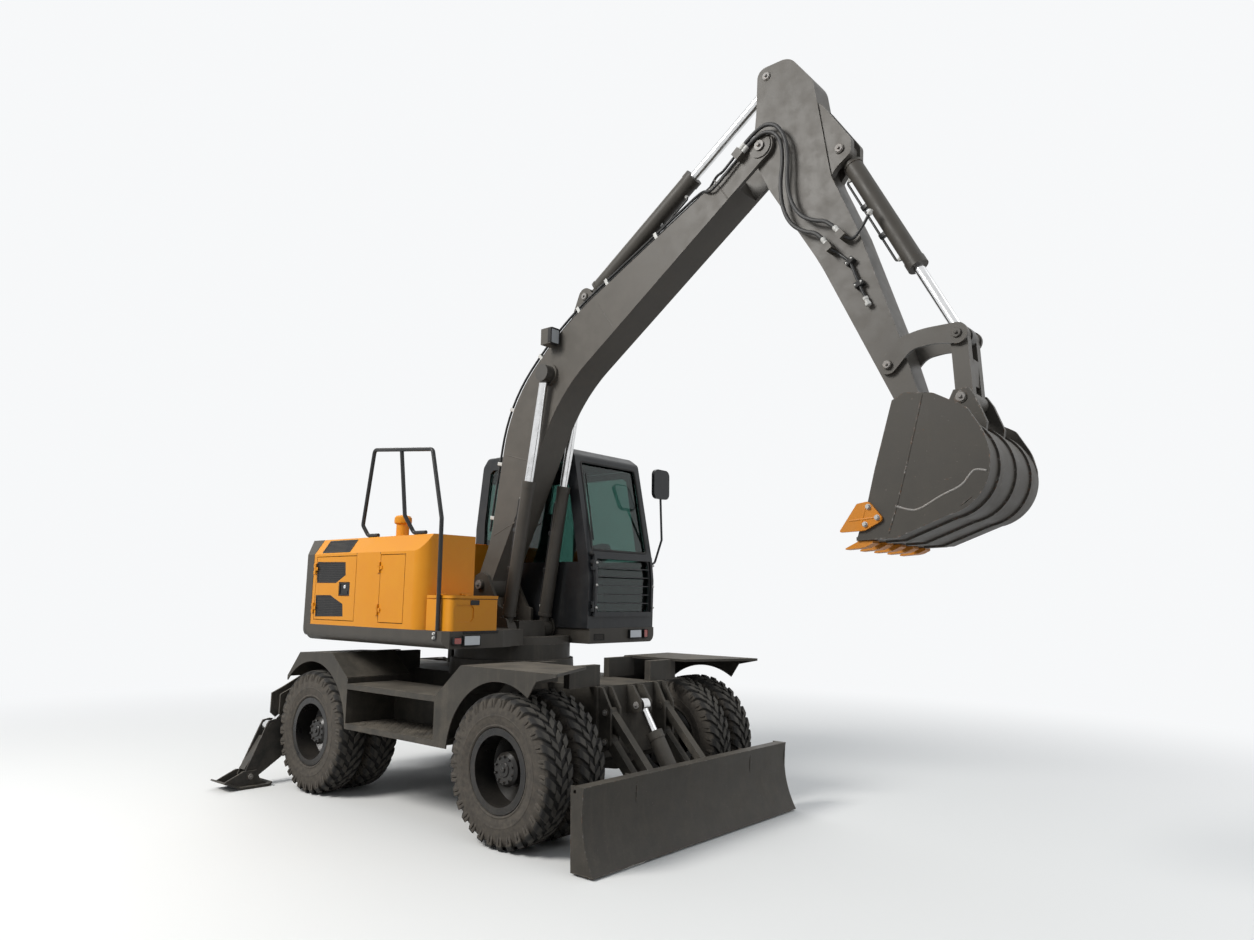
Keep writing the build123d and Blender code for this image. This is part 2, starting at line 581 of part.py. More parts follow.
def wheel_pair(x, side):
    """Builds the two rims of one corner with their discs and hub."""
    half = TYRE_WIDTH / 2 * 0.8 - SLIDING_FIT
    barrel_radius = RIM_SEAT_RADIUS - RIM_WALL
    centre = Plane(origin=(x, 0, TYRE_RADIUS), x_dir=(0, 1, 0), z_dir=(1, 0, 0))
    axis = Axis((x, 0, TYRE_RADIUS), (0, 1, 0))
    with BuildPart() as pair:
        for middle in (INNER_TYRE_Y, OUTER_TYRE_Y):
            with BuildSketch(centre) as rim:
                with BuildLine():
                    Polyline(
                        (side * middle - half - 12, barrel_radius), (side * middle - half - 12, RIM_RADIUS),
                        (side * middle - half, RIM_RADIUS), (side * middle - half, RIM_SEAT_RADIUS),
                        (side * middle + half, RIM_SEAT_RADIUS), (side * middle + half, RIM_RADIUS),
                        (side * middle + half + 12, RIM_RADIUS), (side * middle + half + 12, barrel_radius),
                        close=True,
                    )
                make_face()
            revolve(rim.sketch, axis=axis)
            toward = 1 if middle == INNER_TYRE_Y else -1
            root = side * (middle + toward * half * 0.6)
            face = side * TWIN_MIDDLE_Y
            step = side * toward
            with BuildSketch(centre) as disc:
                with BuildLine():
                    Polyline(
                        (root, barrel_radius + 2), (root + step * 18, barrel_radius + 2),
                        (face, 176), (face, 100), (face - step * 14, 100), (face - step * 14, 170),
                        close=True,
                    )
                make_face()
            revolve(disc.sketch, axis=axis)
        with BuildSketch(centre) as hub:
            with BuildLine():
                Polyline(
                    (side * (SPINDLE_START_Y + 1), SPINDLE_RADIUS + SLIDING_FIT),
                    (side * (SPINDLE_START_Y + 1), 128), (side * (TWIN_MIDDLE_Y - 15), 128),
                    (side * (TWIN_MIDDLE_Y + 60), HUB_RADIUS), (side * (HUB_END_Y - 20), HUB_RADIUS),
                    (side * HUB_END_Y, HUB_RADIUS - 20), (side * HUB_END_Y, 0),
                    (side * (SPINDLE_START_Y + SPINDLE_LENGTH + 1), 0),
                    (side * (SPINDLE_START_Y + SPINDLE_LENGTH + 1), SPINDLE_RADIUS + SLIDING_FIT),
                    close=True,
                )
            make_face()
        revolve(hub.sketch, axis=axis)
    return pair.part


CORNERS = {
    "front_right": (AXLE_X, -1), "front_left": (AXLE_X, 1),
    "rear_right": (-AXLE_X, -1), "rear_left": (-AXLE_X, 1),
}
for corner, (x, side) in CORNERS.items():
    save(tyre_pair(x, side), f"tyres_{corner}")
    save(wheel_pair(x, side), f"wheels_{corner}")


# Blade: a bowed front sheet with end plates, a top flange and back ribs, on a parallelogram of arms
def parallel(start, shift):
    """Gives a place moved by a shift, both as (x, z)."""
    return (start[0] + shift[0], start[1] + shift[1])


BLADE_SHEET = 20
BLADE_SWEEP = 118
ARM_RUN = (BLADE_ARM_END[0] - BLADE_ARM_PIN[0], BLADE_ARM_END[1] - BLADE_ARM_PIN[1])
BLADE_LINK_END = parallel(BLADE_LINK_PIN, ARM_RUN)
with BuildPart() as blade:
    blade_width = (-BLADE_HALF_WIDTH, BLADE_HALF_WIDTH)
    top_front = (BLADE_BACK + BLADE_SWEEP, BLADE_TOP)
    middle_front = (BLADE_BACK + BLADE_SWEEP - 8, 290)
    bottom_front = (BLADE_BACK + BLADE_SWEEP + 89, BLADE_BOTTOM)
    with BuildSketch(Plane.XZ.offset(-BLADE_HALF_WIDTH)) as sheet:
        with BuildLine():
            ThreePointArc(top_front, middle_front, bottom_front)
            Line(bottom_front, (bottom_front[0] - BLADE_SHEET * 1.6, BLADE_BOTTOM))
            ThreePointArc(
                (bottom_front[0] - BLADE_SHEET * 1.6, BLADE_BOTTOM),
                (middle_front[0] - BLADE_SHEET, middle_front[1]),
                (top_front[0] - BLADE_SHEET, BLADE_TOP),
            )
            Line((top_front[0] - BLADE_SHEET, BLADE_TOP), top_front)
        make_face()
    extrude(sheet.sketch, amount=2 * BLADE_HALF_WIDTH)
    end_plate = [
        (BLADE_BACK, BLADE_TOP), (top_front[0] - 4, BLADE_TOP), (middle_front[0] - 10, 290),
        (bottom_front[0] - 26, BLADE_BOTTOM), (BLADE_BACK + 14, BLADE_BOTTOM),
    ]
    for y in both_sides(BLADE_HALF_WIDTH - 16, BLADE_HALF_WIDTH) + both_sides(700, 716):
        side_plate(end_plate, y)
    block((BLADE_FLANGE_BACK, top_front[0] - 4), blade_width, (BLADE_TOP - 16, BLADE_TOP))
    lip_end = BLADE_HALF_WIDTH - 66
    block((BLADE_FLANGE_BACK, BLADE_FLANGE_BACK + 16), (-lip_end, lip_end), (BLADE_TOP - 70, BLADE_TOP - 16))
    for y in both_sides(BLADE_HALF_WIDTH - 16, BLADE_HALF_WIDTH):
        cross_pin((BLADE_BACK + 38, BLADE_TOP - 35), 13, y, Mode.SUBTRACT)
    block((BLADE_BACK + 14, middle_front[0] - 6), blade_width, (90, 106))
    lug_gap = BLADE_ARM_WIDTH / 2 + EYE_CLEARANCE
    for side in (-1, 1):
        for y in both_sides(lug_gap, lug_gap + 20):
            lug = [
                (middle_front[0] - 10, 500), (BLADE_LINK_END[0] - 20, BLADE_LINK_END[1] + 42),
                (BLADE_LINK_END[0] - 42, BLADE_LINK_END[1]), (BLADE_ARM_END[0] - 42, BLADE_ARM_END[1]),
                (BLADE_ARM_END[0] - 10, BLADE_ARM_END[1] - 44), (middle_front[0] - 10, 110),
            ]
            side_plate(lug, (y[0] + side * BLADE_ARM_Y, y[1] + side * BLADE_ARM_Y))
        for centre in (BLADE_ARM_END, BLADE_LINK_END):
            cross_pin(centre, 28, (side * BLADE_ARM_Y - lug_gap - 32, side * BLADE_ARM_Y + lug_gap + 32))
    for y in both_sides(48, 66):
        lug = [
            (middle_front[0] - 10, 420), (BLADE_CYLINDER_BASE[0] - 10, BLADE_CYLINDER_BASE[1] + 44),
            (BLADE_CYLINDER_BASE[0] - 44, BLADE_CYLINDER_BASE[1] - 10), (middle_front[0] - 10, 200),
        ]
        side_plate(lug, y)
    cross_pin(BLADE_CYLINDER_BASE, PIN_RADIUS, (-78, 78))
save(blade.part, "blade")

for name, start, depth in (("blade_arms", BLADE_ARM_PIN, 46), ("blade_links", BLADE_LINK_PIN, 34)):
    end = parallel(start, ARM_RUN)
    with BuildPart() as bars:
        for side in (-1, 1):
            stations = (side * BLADE_ARM_Y - BLADE_ARM_WIDTH / 2, side * BLADE_ARM_Y + BLADE_ARM_WIDTH / 2)
            unit = (ARM_RUN[0] / hypot(*ARM_RUN), ARM_RUN[1] / hypot(*ARM_RUN))
            normal = (-unit[1] * depth * 0.8, unit[0] * depth * 0.8)
            bar = [
                (start[0] + normal[0], start[1] + normal[1]), (end[0] + normal[0], end[1] + normal[1]),
                (end[0] - normal[0], end[1] - normal[1]), (start[0] - normal[0], start[1] - normal[1]),
            ]
            side_plate(bar, stations)
            for centre in (start, end):
                cross_pin(centre, depth, stations)
                cross_pin(centre, 28 + PIN_CLEARANCE, stations, Mode.SUBTRACT)
    save(bars.part, name)


# Stabiliser legs, each a pair of tapered plates with a cross tube, and their feet
def stabiliser_leg(side):
    """Builds one leg, +1 for the left."""
    inner = LEG_HALF_WIDTH - LEG_PLATE
    outline = [
        (LEG_PIN[0] - 60, LEG_PIN[1] - 30), (LEG_PIN[0] - 50, LEG_PIN[1] + 45),
        (LEG_PIN[0] + 40, LEG_PIN[1] + 75), (LEG_ROD_PIN[0] - 30, LEG_ROD_PIN[1] + 62),
        (LEG_ROD_PIN[0] + 35, LEG_ROD_PIN[1] + 50), (LEG_ROD_PIN[0] + 60, LEG_ROD_PIN[1]),
        (LEG_END[0] + 52, LEG_END[1] + 10), (LEG_END[0] + 20, LEG_END[1] - 48),
        (LEG_END[0] - 45, LEG_END[1] - 30), (LEG_PIN[0] + 60, LEG_PIN[1] - 62),
        (LEG_PIN[0], LEG_PIN[1] - 64),
    ]
    with BuildPart() as leg:
        points = [(side * y, z) for y, z in outline]
        cross_plate(points, (LEG_X - LEG_HALF_WIDTH, LEG_X - inner))
        cross_plate(points, (LEG_X + inner, LEG_X + LEG_HALF_WIDTH))
        long_pin((side * LEG_PIN[0], LEG_PIN[1]), 58, (LEG_X - LEG_HALF_WIDTH, LEG_X + LEG_HALF_WIDTH))
        web = [(LEG_ROD_PIN[0] + 62, 430), (LEG_END[0] + 44, LEG_END[1] + 60),
               (LEG_END[0] + 32, LEG_END[1] + 60), (LEG_ROD_PIN[0] + 50, 430)]
        cross_plate([(side * y, z) for y, z in web], (LEG_X - inner - 1, LEG_X + inner + 1))
        lower = [(LEG_PIN[0] + 40, LEG_PIN[1] - 62), (LEG_END[0] - 60, LEG_END[1] - 18),
                 (LEG_END[0] - 60, LEG_END[1]), (LEG_PIN[0] + 40, LEG_PIN[1] - 44)]
        cross_plate([(side * y, z) for y, z in lower], (LEG_X - inner - 1, LEG_X + inner + 1))
        long_pin((side * LEG_PIN[0], LEG_PIN[1]), PIN_RADIUS + PIN_CLEARANCE,
                 (LEG_X - LEG_HALF_WIDTH - 1, LEG_X + LEG_HALF_WIDTH + 1), Mode.SUBTRACT)
        long_pin((side * LEG_END[0], LEG_END[1]), PIN_RADIUS - 4,
                 (LEG_X - LEG_HALF_WIDTH - 30, LEG_X + LEG_HALF_WIDTH + 30))
        for x in ((-LEG_HALF_WIDTH - 6, -inner), (inner, LEG_HALF_WIDTH + 6)):
            long_pin((side * LEG_ROD_PIN[0], LEG_ROD_PIN[1]), PIN_RADIUS - 4, (LEG_X + x[0], LEG_X + x[1]))
    return leg.part


def stabiliser_foot(side):
    """Builds one foot with its two gussets, +1 for the left."""
    inner = LEG_HALF_WIDTH + 6
    base = [(-255, 72), (-245, 84), (-95, 24), (165, 24), (180, 40), (190, 34), (172, 2), (-95, 2)]
    gusset = [(-240, 70), (-60, 150), (60, 150), (95, 60), (175, 20), (-95, 20)]
    with BuildPart() as foot:
        cross_plate([(side * (LEG_END[0] - y), z) for y, z in base],
            (LEG_X - inner - 60, LEG_X + inner + 60))
        for x in ((-inner - 14, -inner), (inner, inner + 14)):
            cross_plate([(side * (LEG_END[0] - y), z) for y, z in gusset], (LEG_X + x[0], LEG_X + x[1]))
        long_pin((side * LEG_END[0], LEG_END[1]), PIN_RADIUS - 4 + PIN_CLEARANCE,
                 (LEG_X - inner - 15, LEG_X + inner + 15), Mode.SUBTRACT)
    return foot.part


for side, word in ((-1, "right"), (1, "left")):
    save(stabiliser_leg(side), f"stabiliser_leg_{word}")
    save(stabiliser_foot(side), f"stabiliser_foot_{word}")

# Revolving frame: deck with side skirts, open below, and the boom bracket
DECK_FRONT = 590
CAB_DECK_FRONT = 660
DECK = [
    (PLATFORM_REAR, -PLATFORM_HALF_WIDTH), (DECK_FRONT - 50, -PLATFORM_HALF_WIDTH),
    (DECK_FRONT, -PLATFORM_HALF_WIDTH + 40),
    (DECK_FRONT, -640), (470, -310),
    (40, -310), (40, 310), (CAB_DECK_FRONT, 310), (CAB_DECK_FRONT, PLATFORM_HALF_WIDTH),
    (PLATFORM_REAR, PLATFORM_HALF_WIDTH),
]
BRACKET_INNER = BOOM_HALF_WIDTH + EYE_CLEARANCE


def round_edge(x, corner, inward, radius):
    """Rounds an edge that runs between two X stations; corner is (y, z) and inward the way in along each."""
    (y, z), (y_in, z_in) = corner, inward
    bulge = radius * (1 - sqrt(0.5))
    with BuildSketch(Plane.YZ.offset(x[0])) as cutter:
        with BuildLine():
            ThreePointArc((y, z + z_in * radius), (y + y_in * bulge, z + z_in * bulge),
                (y + y_in * radius, z))
            Polyline((y + y_in * radius, z), (y + y_in * radius, z - z_in), (y - y_in, z - z_in),
                     (y - y_in, z + z_in * radius), (y, z + z_in * radius))
        make_face()
    extrude(cutter.sketch, amount=x[1] - x[0], mode=Mode.SUBTRACT)


def round_lower_edges(bottom, x):
    """Rounds the two lower long edges of the piece in hand, at the full width of the platform."""
    for side in (-1, 1):
        round_edge(x, (side * PLATFORM_HALF_WIDTH, bottom), (-side, 1), SKIRT_ROUND)


with BuildPart() as revolving_frame:
    flat_plate(DECK, (PLATFORM_BOTTOM, PLATFORM_TOP))
    with BuildSketch(Plane.XY.offset(PLATFORM_BOTTOM)) as pocket:
        with BuildLine():
            Polyline(*DECK, close=True)
        make_face()
        offset(amount=-PLATFORM_SKIN - SKIRT_ROUND, mode=Mode.REPLACE)
    extrude(pocket.sketch, amount=PLATFORM_TOP - PLATFORM_BOTTOM - PLATFORM_SKIN, mode=Mode.SUBTRACT)
    round_lower_edges(PLATFORM_BOTTOM, (PLATFORM_REAR - 1, DECK_FRONT + 80))
    for y in both_sides(BRACKET_INNER, BRACKET_INNER + 30):
        block((PLATFORM_REAR + 10, 30), y, (PLATFORM_BOTTOM + 5, PLATFORM_TOP))
    with BuildSketch(Plane.XY.offset(PLATFORM_BOTTOM)) as bearing_seat:
        Circle(SLEW_RING_RADIUS)
        Circle(SLEW_RING_RADIUS - 140, mode=Mode.SUBTRACT)
    extrude(bearing_seat.sketch, amount=PLATFORM_TOP - PLATFORM_BOTTOM - 5)
    block((60, SLEW_RING_RADIUS + 20), (-308, 308), (SEAT_TOP_AT_CYLINDERS, PLATFORM_TOP + 1), Mode.SUBTRACT)
    bracket = [
        (-540, PLATFORM_TOP - 5), (-370, 1840), (-330, 1920), (-250, 1950), (-170, 1915), (-130, 1840),
        (0, 1640), (60, 1620), (60, PLATFORM_TOP - 5),
    ]
    for y in both_sides(BRACKET_INNER, BRACKET_INNER + 30):
        side_plate(bracket, y)
    block((30, 250), (-BRACKET_INNER - 2, BRACKET_INNER + 2), (PLATFORM_BOTTOM + 20, 1515))
    cheek_inner = BOOM_CYLINDER_Y + RAMS["boom_cylinder"]["base_eye"][1] + 4
    for y in both_sides(cheek_inner, cheek_inner + 18):
        side_form([(20, PLATFORM_BOTTOM + 20, 0), (20, 1500, 30), (110, 1548, 60), (225, 1535, 40),
            (255, 1440, 60),
                   (215, 1360, 40), (120, PLATFORM_BOTTOM + 20, 0)], y)
    cross_pin(BOOM_CYLINDER_BASE, PIN_RADIUS, (-cheek_inner - 20, cheek_inner + 20))
    cross_pin(BOOM_FOOT, PIN_RADIUS + 8, (-BRACKET_INNER - 64, BRACKET_INNER + 64))
save(revolving_frame.part, "revolving_frame")

# Counterweight with chamfered top corners, closing the back across the full width
with BuildPart() as counterweight:
    plan = [
        (HOOD_REAR - PANEL_GAP, -PLATFORM_HALF_WIDTH), (-1500, -PLATFORM_HALF_WIDTH), (-1640, -1040),
        (COUNTERWEIGHT_REAR, -560), (COUNTERWEIGHT_REAR, 560), (-1640, 1040), (-1500, PLATFORM_HALF_WIDTH),
        (HOOD_REAR - PANEL_GAP, PLATFORM_HALF_WIDTH),
    ]
    flat_plate(plan, (PLATFORM_TOP, HOOD_TOP))
    under = [
        (PLATFORM_REAR - 1, y) if abs(y) == PLATFORM_HALF_WIDTH and x > -1450 else (x, y)
        for x, y in plan
    ]
    flat_plate(under, (PLATFORM_BOTTOM + 30, PLATFORM_TOP))
    for side in (-1, 1):
        wedge = [
            (side * (PLATFORM_HALF_WIDTH + 1), HOOD_CREASE),
            (side * (PLATFORM_HALF_WIDTH + 1), HOOD_TOP + 1),
            (side * (PLATFORM_HALF_WIDTH - HOOD_INSET), HOOD_TOP + 1),
        ]
        cross_plate(wedge, (COUNTERWEIGHT_REAR - 1, HOOD_REAR), Mode.SUBTRACT)
    round_lower_edges(PLATFORM_BOTTOM + 30, (COUNTERWEIGHT_REAR - 1, HOOD_REAR))
save(counterweight.part, "counterweight")

# Engine hood: sheet-metal housing, hollow, with openings for its doors and its top lid
HOOD_PLAN = [
    (HOOD_REAR, -PLATFORM_HALF_WIDTH, 0), (HOOD_FRONT, -PLATFORM_HALF_WIDTH, 130),
    (HOOD_FRONT, HOOD_INNER_EDGE, 0), (-560, HOOD_INNER_EDGE, 0), (-560, 250, 0), (-960, 250, 0),
    (-960, PLATFORM_HALF_WIDTH, 0), (HOOD_REAR, PLATFORM_HALF_WIDTH, 0),
]
RIGHT_DOORS = {"hood_door_rear": (-1335, -680), "hood_door_front": (-322, 30)}
# Ventilation grilles, as outlines seen from the side, with the pitch and height of their louvres
GRILLES = {
    "upper": [(-1336, 1994), (-1316, 2013), (-857, 2005), (-844, 1892), (-992, 1822), (-1312, 1822)],
    "lower": [(-1318, 1714), (-1078, 1716), (-866, 1640), (-853, 1533), (-1307, 1522)],
}
LOUVRE_PITCH = 27
LOUVRE_HEIGHT = 11
LOUVRE_MARGIN = 16
GRILLE_DEPTH = 6
LATCH_X = (-944, -770)
LATCH_Z = (1709, 1831)
LEFT_DOOR = (-1300, -1010)
DOOR_LOW = PLATFORM_TOP + 40
DOOR_HIGH = HOOD_CREASE - 20
LID_X = (-1320, -640)
LID_Y = (-560, 200)
HOOD_HINGE_HEIGHTS = (1600, 1950)
LID_HINGE_PLACES = (-440, 80)
TOOL_LID_HINGE_X = HOOD_FRONT + 8
TOOL_LID_HINGE_PLACES = (-1040, -790)
with BuildPart() as hood:
    flat_form(HOOD_PLAN, (PLATFORM_TOP, HOOD_TOP))
    for side in (-1, 1):
        wedge = [
            (side * (PLATFORM_HALF_WIDTH + 1), HOOD_CREASE),
            (side * (PLATFORM_HALF_WIDTH + 1), HOOD_TOP + 1),
            (side * (PLATFORM_HALF_WIDTH - HOOD_INSET), HOOD_TOP + 1),
        ]
        cross_plate(wedge, (HOOD_REAR - 1, HOOD_FRONT + 1), Mode.SUBTRACT)
    for skin, height in ((HOOD_INSET + DOOR_SKIN, HOOD_TOP - DOOR_SKIN), (DOOR_SKIN + 5, HOOD_CREASE - 30)):
        with BuildSketch(Plane.XY.offset(PLATFORM_TOP)) as inside:
            with BuildLine():
                FilletPolyline(*[(x, y) for x, y, _ in HOOD_PLAN], radius=[r for _, _, r in HOOD_PLAN],
                    close=True)
            make_face()
            offset(amount=-skin, mode=Mode.REPLACE)
        extrude(inside.sketch, amount=height - PLATFORM_TOP, mode=Mode.SUBTRACT)
    for row in range(4):
        z = HOOD_CREASE + 20 + row * LOUVRE_PITCH
        block((-1240, -830), (-PLATFORM_HALF_WIDTH - 1, -PLATFORM_HALF_WIDTH + HOOD_INSET + DOOR_SKIN + 1),
              (z, z + LOUVRE_HEIGHT), Mode.SUBTRACT)
    for x in RIGHT_DOORS.values():
        block((x[0], x[1]), (-PLATFORM_HALF_WIDTH - 1, -PLATFORM_HALF_WIDTH + 200), (DOOR_LOW, DOOR_HIGH),
              Mode.SUBTRACT)
    block(LEFT_DOOR, (PLATFORM_HALF_WIDTH - 200, PLATFORM_HALF_WIDTH + 1), (DOOR_LOW, DOOR_HIGH),
        Mode.SUBTRACT)
    block(LID_X, LID_Y, (HOOD_TOP - DOOR_SKIN - 1, HOOD_TOP + 1), Mode.SUBTRACT)
    for x in RIGHT_DOORS.values():
        upright_hinge(x[0] - HINGE_OFFSET, -PLATFORM_HALF_WIDTH, HOOD_HINGE_HEIGHTS, False)
    upright_hinge(LEFT_DOOR[0] - HINGE_OFFSET, PLATFORM_HALF_WIDTH, HOOD_HINGE_HEIGHTS, False)
    lid_hinge(LID_X[0] - HINGE_OFFSET, HOOD_TOP, LID_HINGE_PLACES, False)
    lid_hinge(TOOL_LID_HINGE_X, TOOL_BOX_TOP, TOOL_LID_HINGE_PLACES, False,
        TOOL_LID_HINGE_X - HOOD_FRONT + 0.1)
save(hood.part, "hood")


def span_at(outline, z):
    """Gives the two X stations where a height crosses a convex outline."""
    crossings = []
    for (x_from, z_from), (x_to, z_to) in zip(outline, outline[1:] + outline[:1]):
        if min(z_from, z_to) <= z < max(z_from, z_to):
            crossings.append(x_from + (x_to - x_from) * (z - z_from) / (z_to - z_from))
    return min(crossings), max(crossings)


def louvred(outline, face, skin):
    """Sinks a grille's field into a right side panel and cuts its louvre slots through the skin."""
    side_plate(outline, (face - 1, face + GRILLE_DEPTH), Mode.SUBTRACT)
    low = min(z for _, z in outline) + LOUVRE_MARGIN
    high = max(z for _, z in outline) - LOUVRE_MARGIN - LOUVRE_HEIGHT
    for row in range(int((high - low) / LOUVRE_PITCH) + 1):
        z = low + row * LOUVRE_PITCH
        lower, upper = span_at(outline, z), span_at(outline, z + LOUVRE_HEIGHT)
        start, end = max(lower[0], upper[0]) + LOUVRE_MARGIN, min(lower[1], upper[1]) - LOUVRE_MARGIN
        block((start, end), (face - 1, face + skin + 1), (z, z + LOUVRE_HEIGHT), Mode.SUBTRACT)


for name, x in RIGHT_DOORS.items():
    with BuildPart() as door:
        block((x[0] + PANEL_GAP, x[1] - PANEL_GAP), (-PLATFORM_HALF_WIDTH, -PLATFORM_HALF_WIDTH + DOOR_SKIN),
              (DOOR_LOW + PANEL_GAP, DOOR_HIGH - PANEL_GAP))
        upright_hinge(x[0] - HINGE_OFFSET, -PLATFORM_HALF_WIDTH, HOOD_HINGE_HEIGHTS, True)
        if name == "hood_door_rear":
            for outline in GRILLES.values():
                louvred(outline, -PLATFORM_HALF_WIDTH, DOOR_SKIN)
            block(LATCH_X, (-PLATFORM_HALF_WIDTH - 1, -PLATFORM_HALF_WIDTH + 14), LATCH_Z, Mode.SUBTRACT)
    save(door.part, name)
with BuildPart() as hood_door_left:
    block((LEFT_DOOR[0] + PANEL_GAP, LEFT_DOOR[1] - PANEL_GAP),
          (PLATFORM_HALF_WIDTH - DOOR_SKIN, PLATFORM_HALF_WIDTH),
          (DOOR_LOW + PANEL_GAP, DOOR_HIGH - PANEL_GAP))
    upright_hinge(LEFT_DOOR[0] - HINGE_OFFSET, PLATFORM_HALF_WIDTH, HOOD_HINGE_HEIGHTS, True)
save(hood_door_left.part, "hood_door_left")
with BuildPart() as hood_lid:
    block((LID_X[0] + PANEL_GAP, LID_X[1] - PANEL_GAP), (LID_Y[0] + PANEL_GAP, LID_Y[1] - PANEL_GAP),
          (HOOD_TOP - DOOR_SKIN + 5, HOOD_TOP + 12))
    lid_hinge(LID_X[0] - HINGE_OFFSET, HOOD_TOP, LID_HINGE_PLACES, True)
save(hood_lid.part, "hood_lid")
with BuildPart() as engine_block:
    block((-1240, -720), (-520, 100), (PLATFORM_TOP + 0.3, 2060))
save(engine_block.part, "engine_block")

# Tool box in front of the tank, with its lid
with BuildPart() as tool_box:
    box_plan = [
        (HOOD_FRONT + 2, TOOL_BOX_RIGHT, 0), (TOOL_BOX_FRONT, TOOL_BOX_RIGHT, 40),
        (TOOL_BOX_FRONT, HOOD_INNER_EDGE, 25), (HOOD_FRONT + 2, HOOD_INNER_EDGE, 0),
    ]
    flat_form(box_plan, (PLATFORM_TOP, TOOL_BOX_TOP - TOOL_LID))
    block((HOOD_FRONT + 2 + BOX_WALL, TOOL_BOX_FRONT - BOX_WALL),
        (TOOL_BOX_RIGHT + BOX_WALL, HOOD_INNER_EDGE - BOX_WALL),
          (PLATFORM_TOP + BOX_WALL, TOOL_BOX_TOP), Mode.SUBTRACT)
    panel_y, panel_z, cut = (TOOL_BOX_RIGHT + 24, -952), (1525, 1656), 26
    inset = [
        (panel_y[0] + cut, panel_z[0]), (panel_y[1] - cut, panel_z[0]), (panel_y[1], panel_z[0] + cut),
        (panel_y[1], panel_z[1] - cut), (panel_y[1] - cut, panel_z[1]), (panel_y[0] + cut, panel_z[1]),
        (panel_y[0], panel_z[1] - cut), (panel_y[0], panel_z[0] + cut),
    ]
    cross_plate(inset, (TOOL_BOX_FRONT - 8, TOOL_BOX_FRONT + 1), Mode.SUBTRACT)
save(tool_box.part, "tool_box")
with BuildPart() as tool_box_lid:
    lid_plan = [
        (HOOD_FRONT + 8, TOOL_BOX_RIGHT - 5, 0), (TOOL_BOX_FRONT + 5, TOOL_BOX_RIGHT - 5, 42),
        (TOOL_BOX_FRONT + 5, HOOD_INNER_EDGE + 5, 27), (HOOD_FRONT + 8, HOOD_INNER_EDGE + 5, 0),
    ]
    flat_form(lid_plan, (TOOL_BOX_TOP - TOOL_LID + PANEL_GAP, TOOL_BOX_TOP))
    lid_hinge(TOOL_LID_HINGE_X, TOOL_BOX_TOP, TOOL_LID_HINGE_PLACES, True)
save(tool_box_lid.part, "tool_box_lid")


# Arm: boom with a fork for the stick, stick, bucket and the links between them
BOOM_OUTLINE = [
    (-345, 1880, 0), (-186, 2230, 900), (27, 3471, 1250), (660, 4109, 2980), (2363, 4972, 0),
    (2692, 5211, 0),
    (2825, 5053, 0), (678, 3511, 1500), (-150, 1850, 0),
]
BOOM_BOSS_OUT = 25
HOSE_Y = -182
HOSE_OUTER_ROUTE = [
    (2588, 5134.7), (2743, 5261), (2885, 5245), (2975, 5115), (3000, 4940), (2985, 4760), (3010, 4590),
    (3090, 4450), (3200, 4380), (3310, 4350), (3385.5, 4247.9),
]
HOSE_INNER_ROUTE = [
    (2612, 5105.3), (2730, 5201), (2868, 5190), (2945, 5080), (2955, 4920), (2930, 4740), (2945, 4560),
    (3010, 4410), (3120, 4320), (3235, 4280), (3290.4, 4185),
]


def clamp(end, before, half_width, length, y, gap):
    """Adds a clamp whose flat face meets a hose at its end, square to the hose's last run."""
    run = hypot(end[0] - before[0], end[1] - before[1])
    ux, uz = (end[0] - before[0]) / run, (end[1] - before[1]) / run
    corners = []
    for along, across in ((gap, half_width), (length, half_width), (length, -half_width),
            (gap, -half_width)):
        corners.append((end[0] + ux * along - uz * across, end[1] + uz * along + ux * across))
    side_plate(corners, y)


BOOM_LAMP = ((540, 660), (-275, -165), (3945, 4090))
with BuildPart() as boom:
    side_form(BOOM_OUTLINE, (-BOOM_HALF_WIDTH, BOOM_HALF_WIDTH))
    cross_pin(BOOM_FOOT, 115, (-BOOM_HALF_WIDTH, BOOM_HALF_WIDTH))
    cross_pin(STICK_PIN, 105, (-BOOM_HALF_WIDTH, BOOM_HALF_WIDTH))
    fork = [(2420, 5080), (2560, 4800), (2600, 4700), (3100, 4900), (3000, 5500), (2500, 5300)]
    side_plate(fork, (-BOOM_FORK_INNER, BOOM_FORK_INNER), Mode.SUBTRACT)
    for y in both_sides(BOOM_HALF_WIDTH - 1, BOOM_HALF_WIDTH + 10):
        cross_pin(STICK_PIN, 92, y)
    cross_pin(STICK_PIN, PIN_RADIUS, (-BOOM_HALF_WIDTH - 20, BOOM_HALF_WIDTH + 20))
    cross_pin(BOOM_FOOT, PIN_RADIUS + 8 + PIN_CLEARANCE, (-BOOM_HALF_WIDTH - 1, BOOM_HALF_WIDTH + 1),
        Mode.SUBTRACT)
    for y in both_sides(BOOM_HALF_WIDTH - 1, BOOM_HALF_WIDTH + BOOM_BOSS_OUT):
        cross_pin(BOOM_CYLINDER_TOP, 95, y)
    for y in both_sides(48, 76):
        side_plate([(650, 4030), (806, 4400), (954, 4400), (1130, 4330), (1000, 4230)], y)
        cross_pin(ARM_CYLINDER_BASE, 78, y)
    cross_pin(ARM_CYLINDER_BASE, PIN_RADIUS, (-88, 88))
    block(*BOOM_LAMP)
    block((570, 630), (BOOM_LAMP[1][1] - 1, -BOOM_HALF_WIDTH + 1), (3960, 4040))
    for route in (HOSE_OUTER_ROUTE, HOSE_INNER_ROUTE):
        clamp(route[0], route[1], 19.5, 70, (HOSE_Y - 28, -BOOM_HALF_WIDTH + 1), 0)
save(boom.part, "boom")

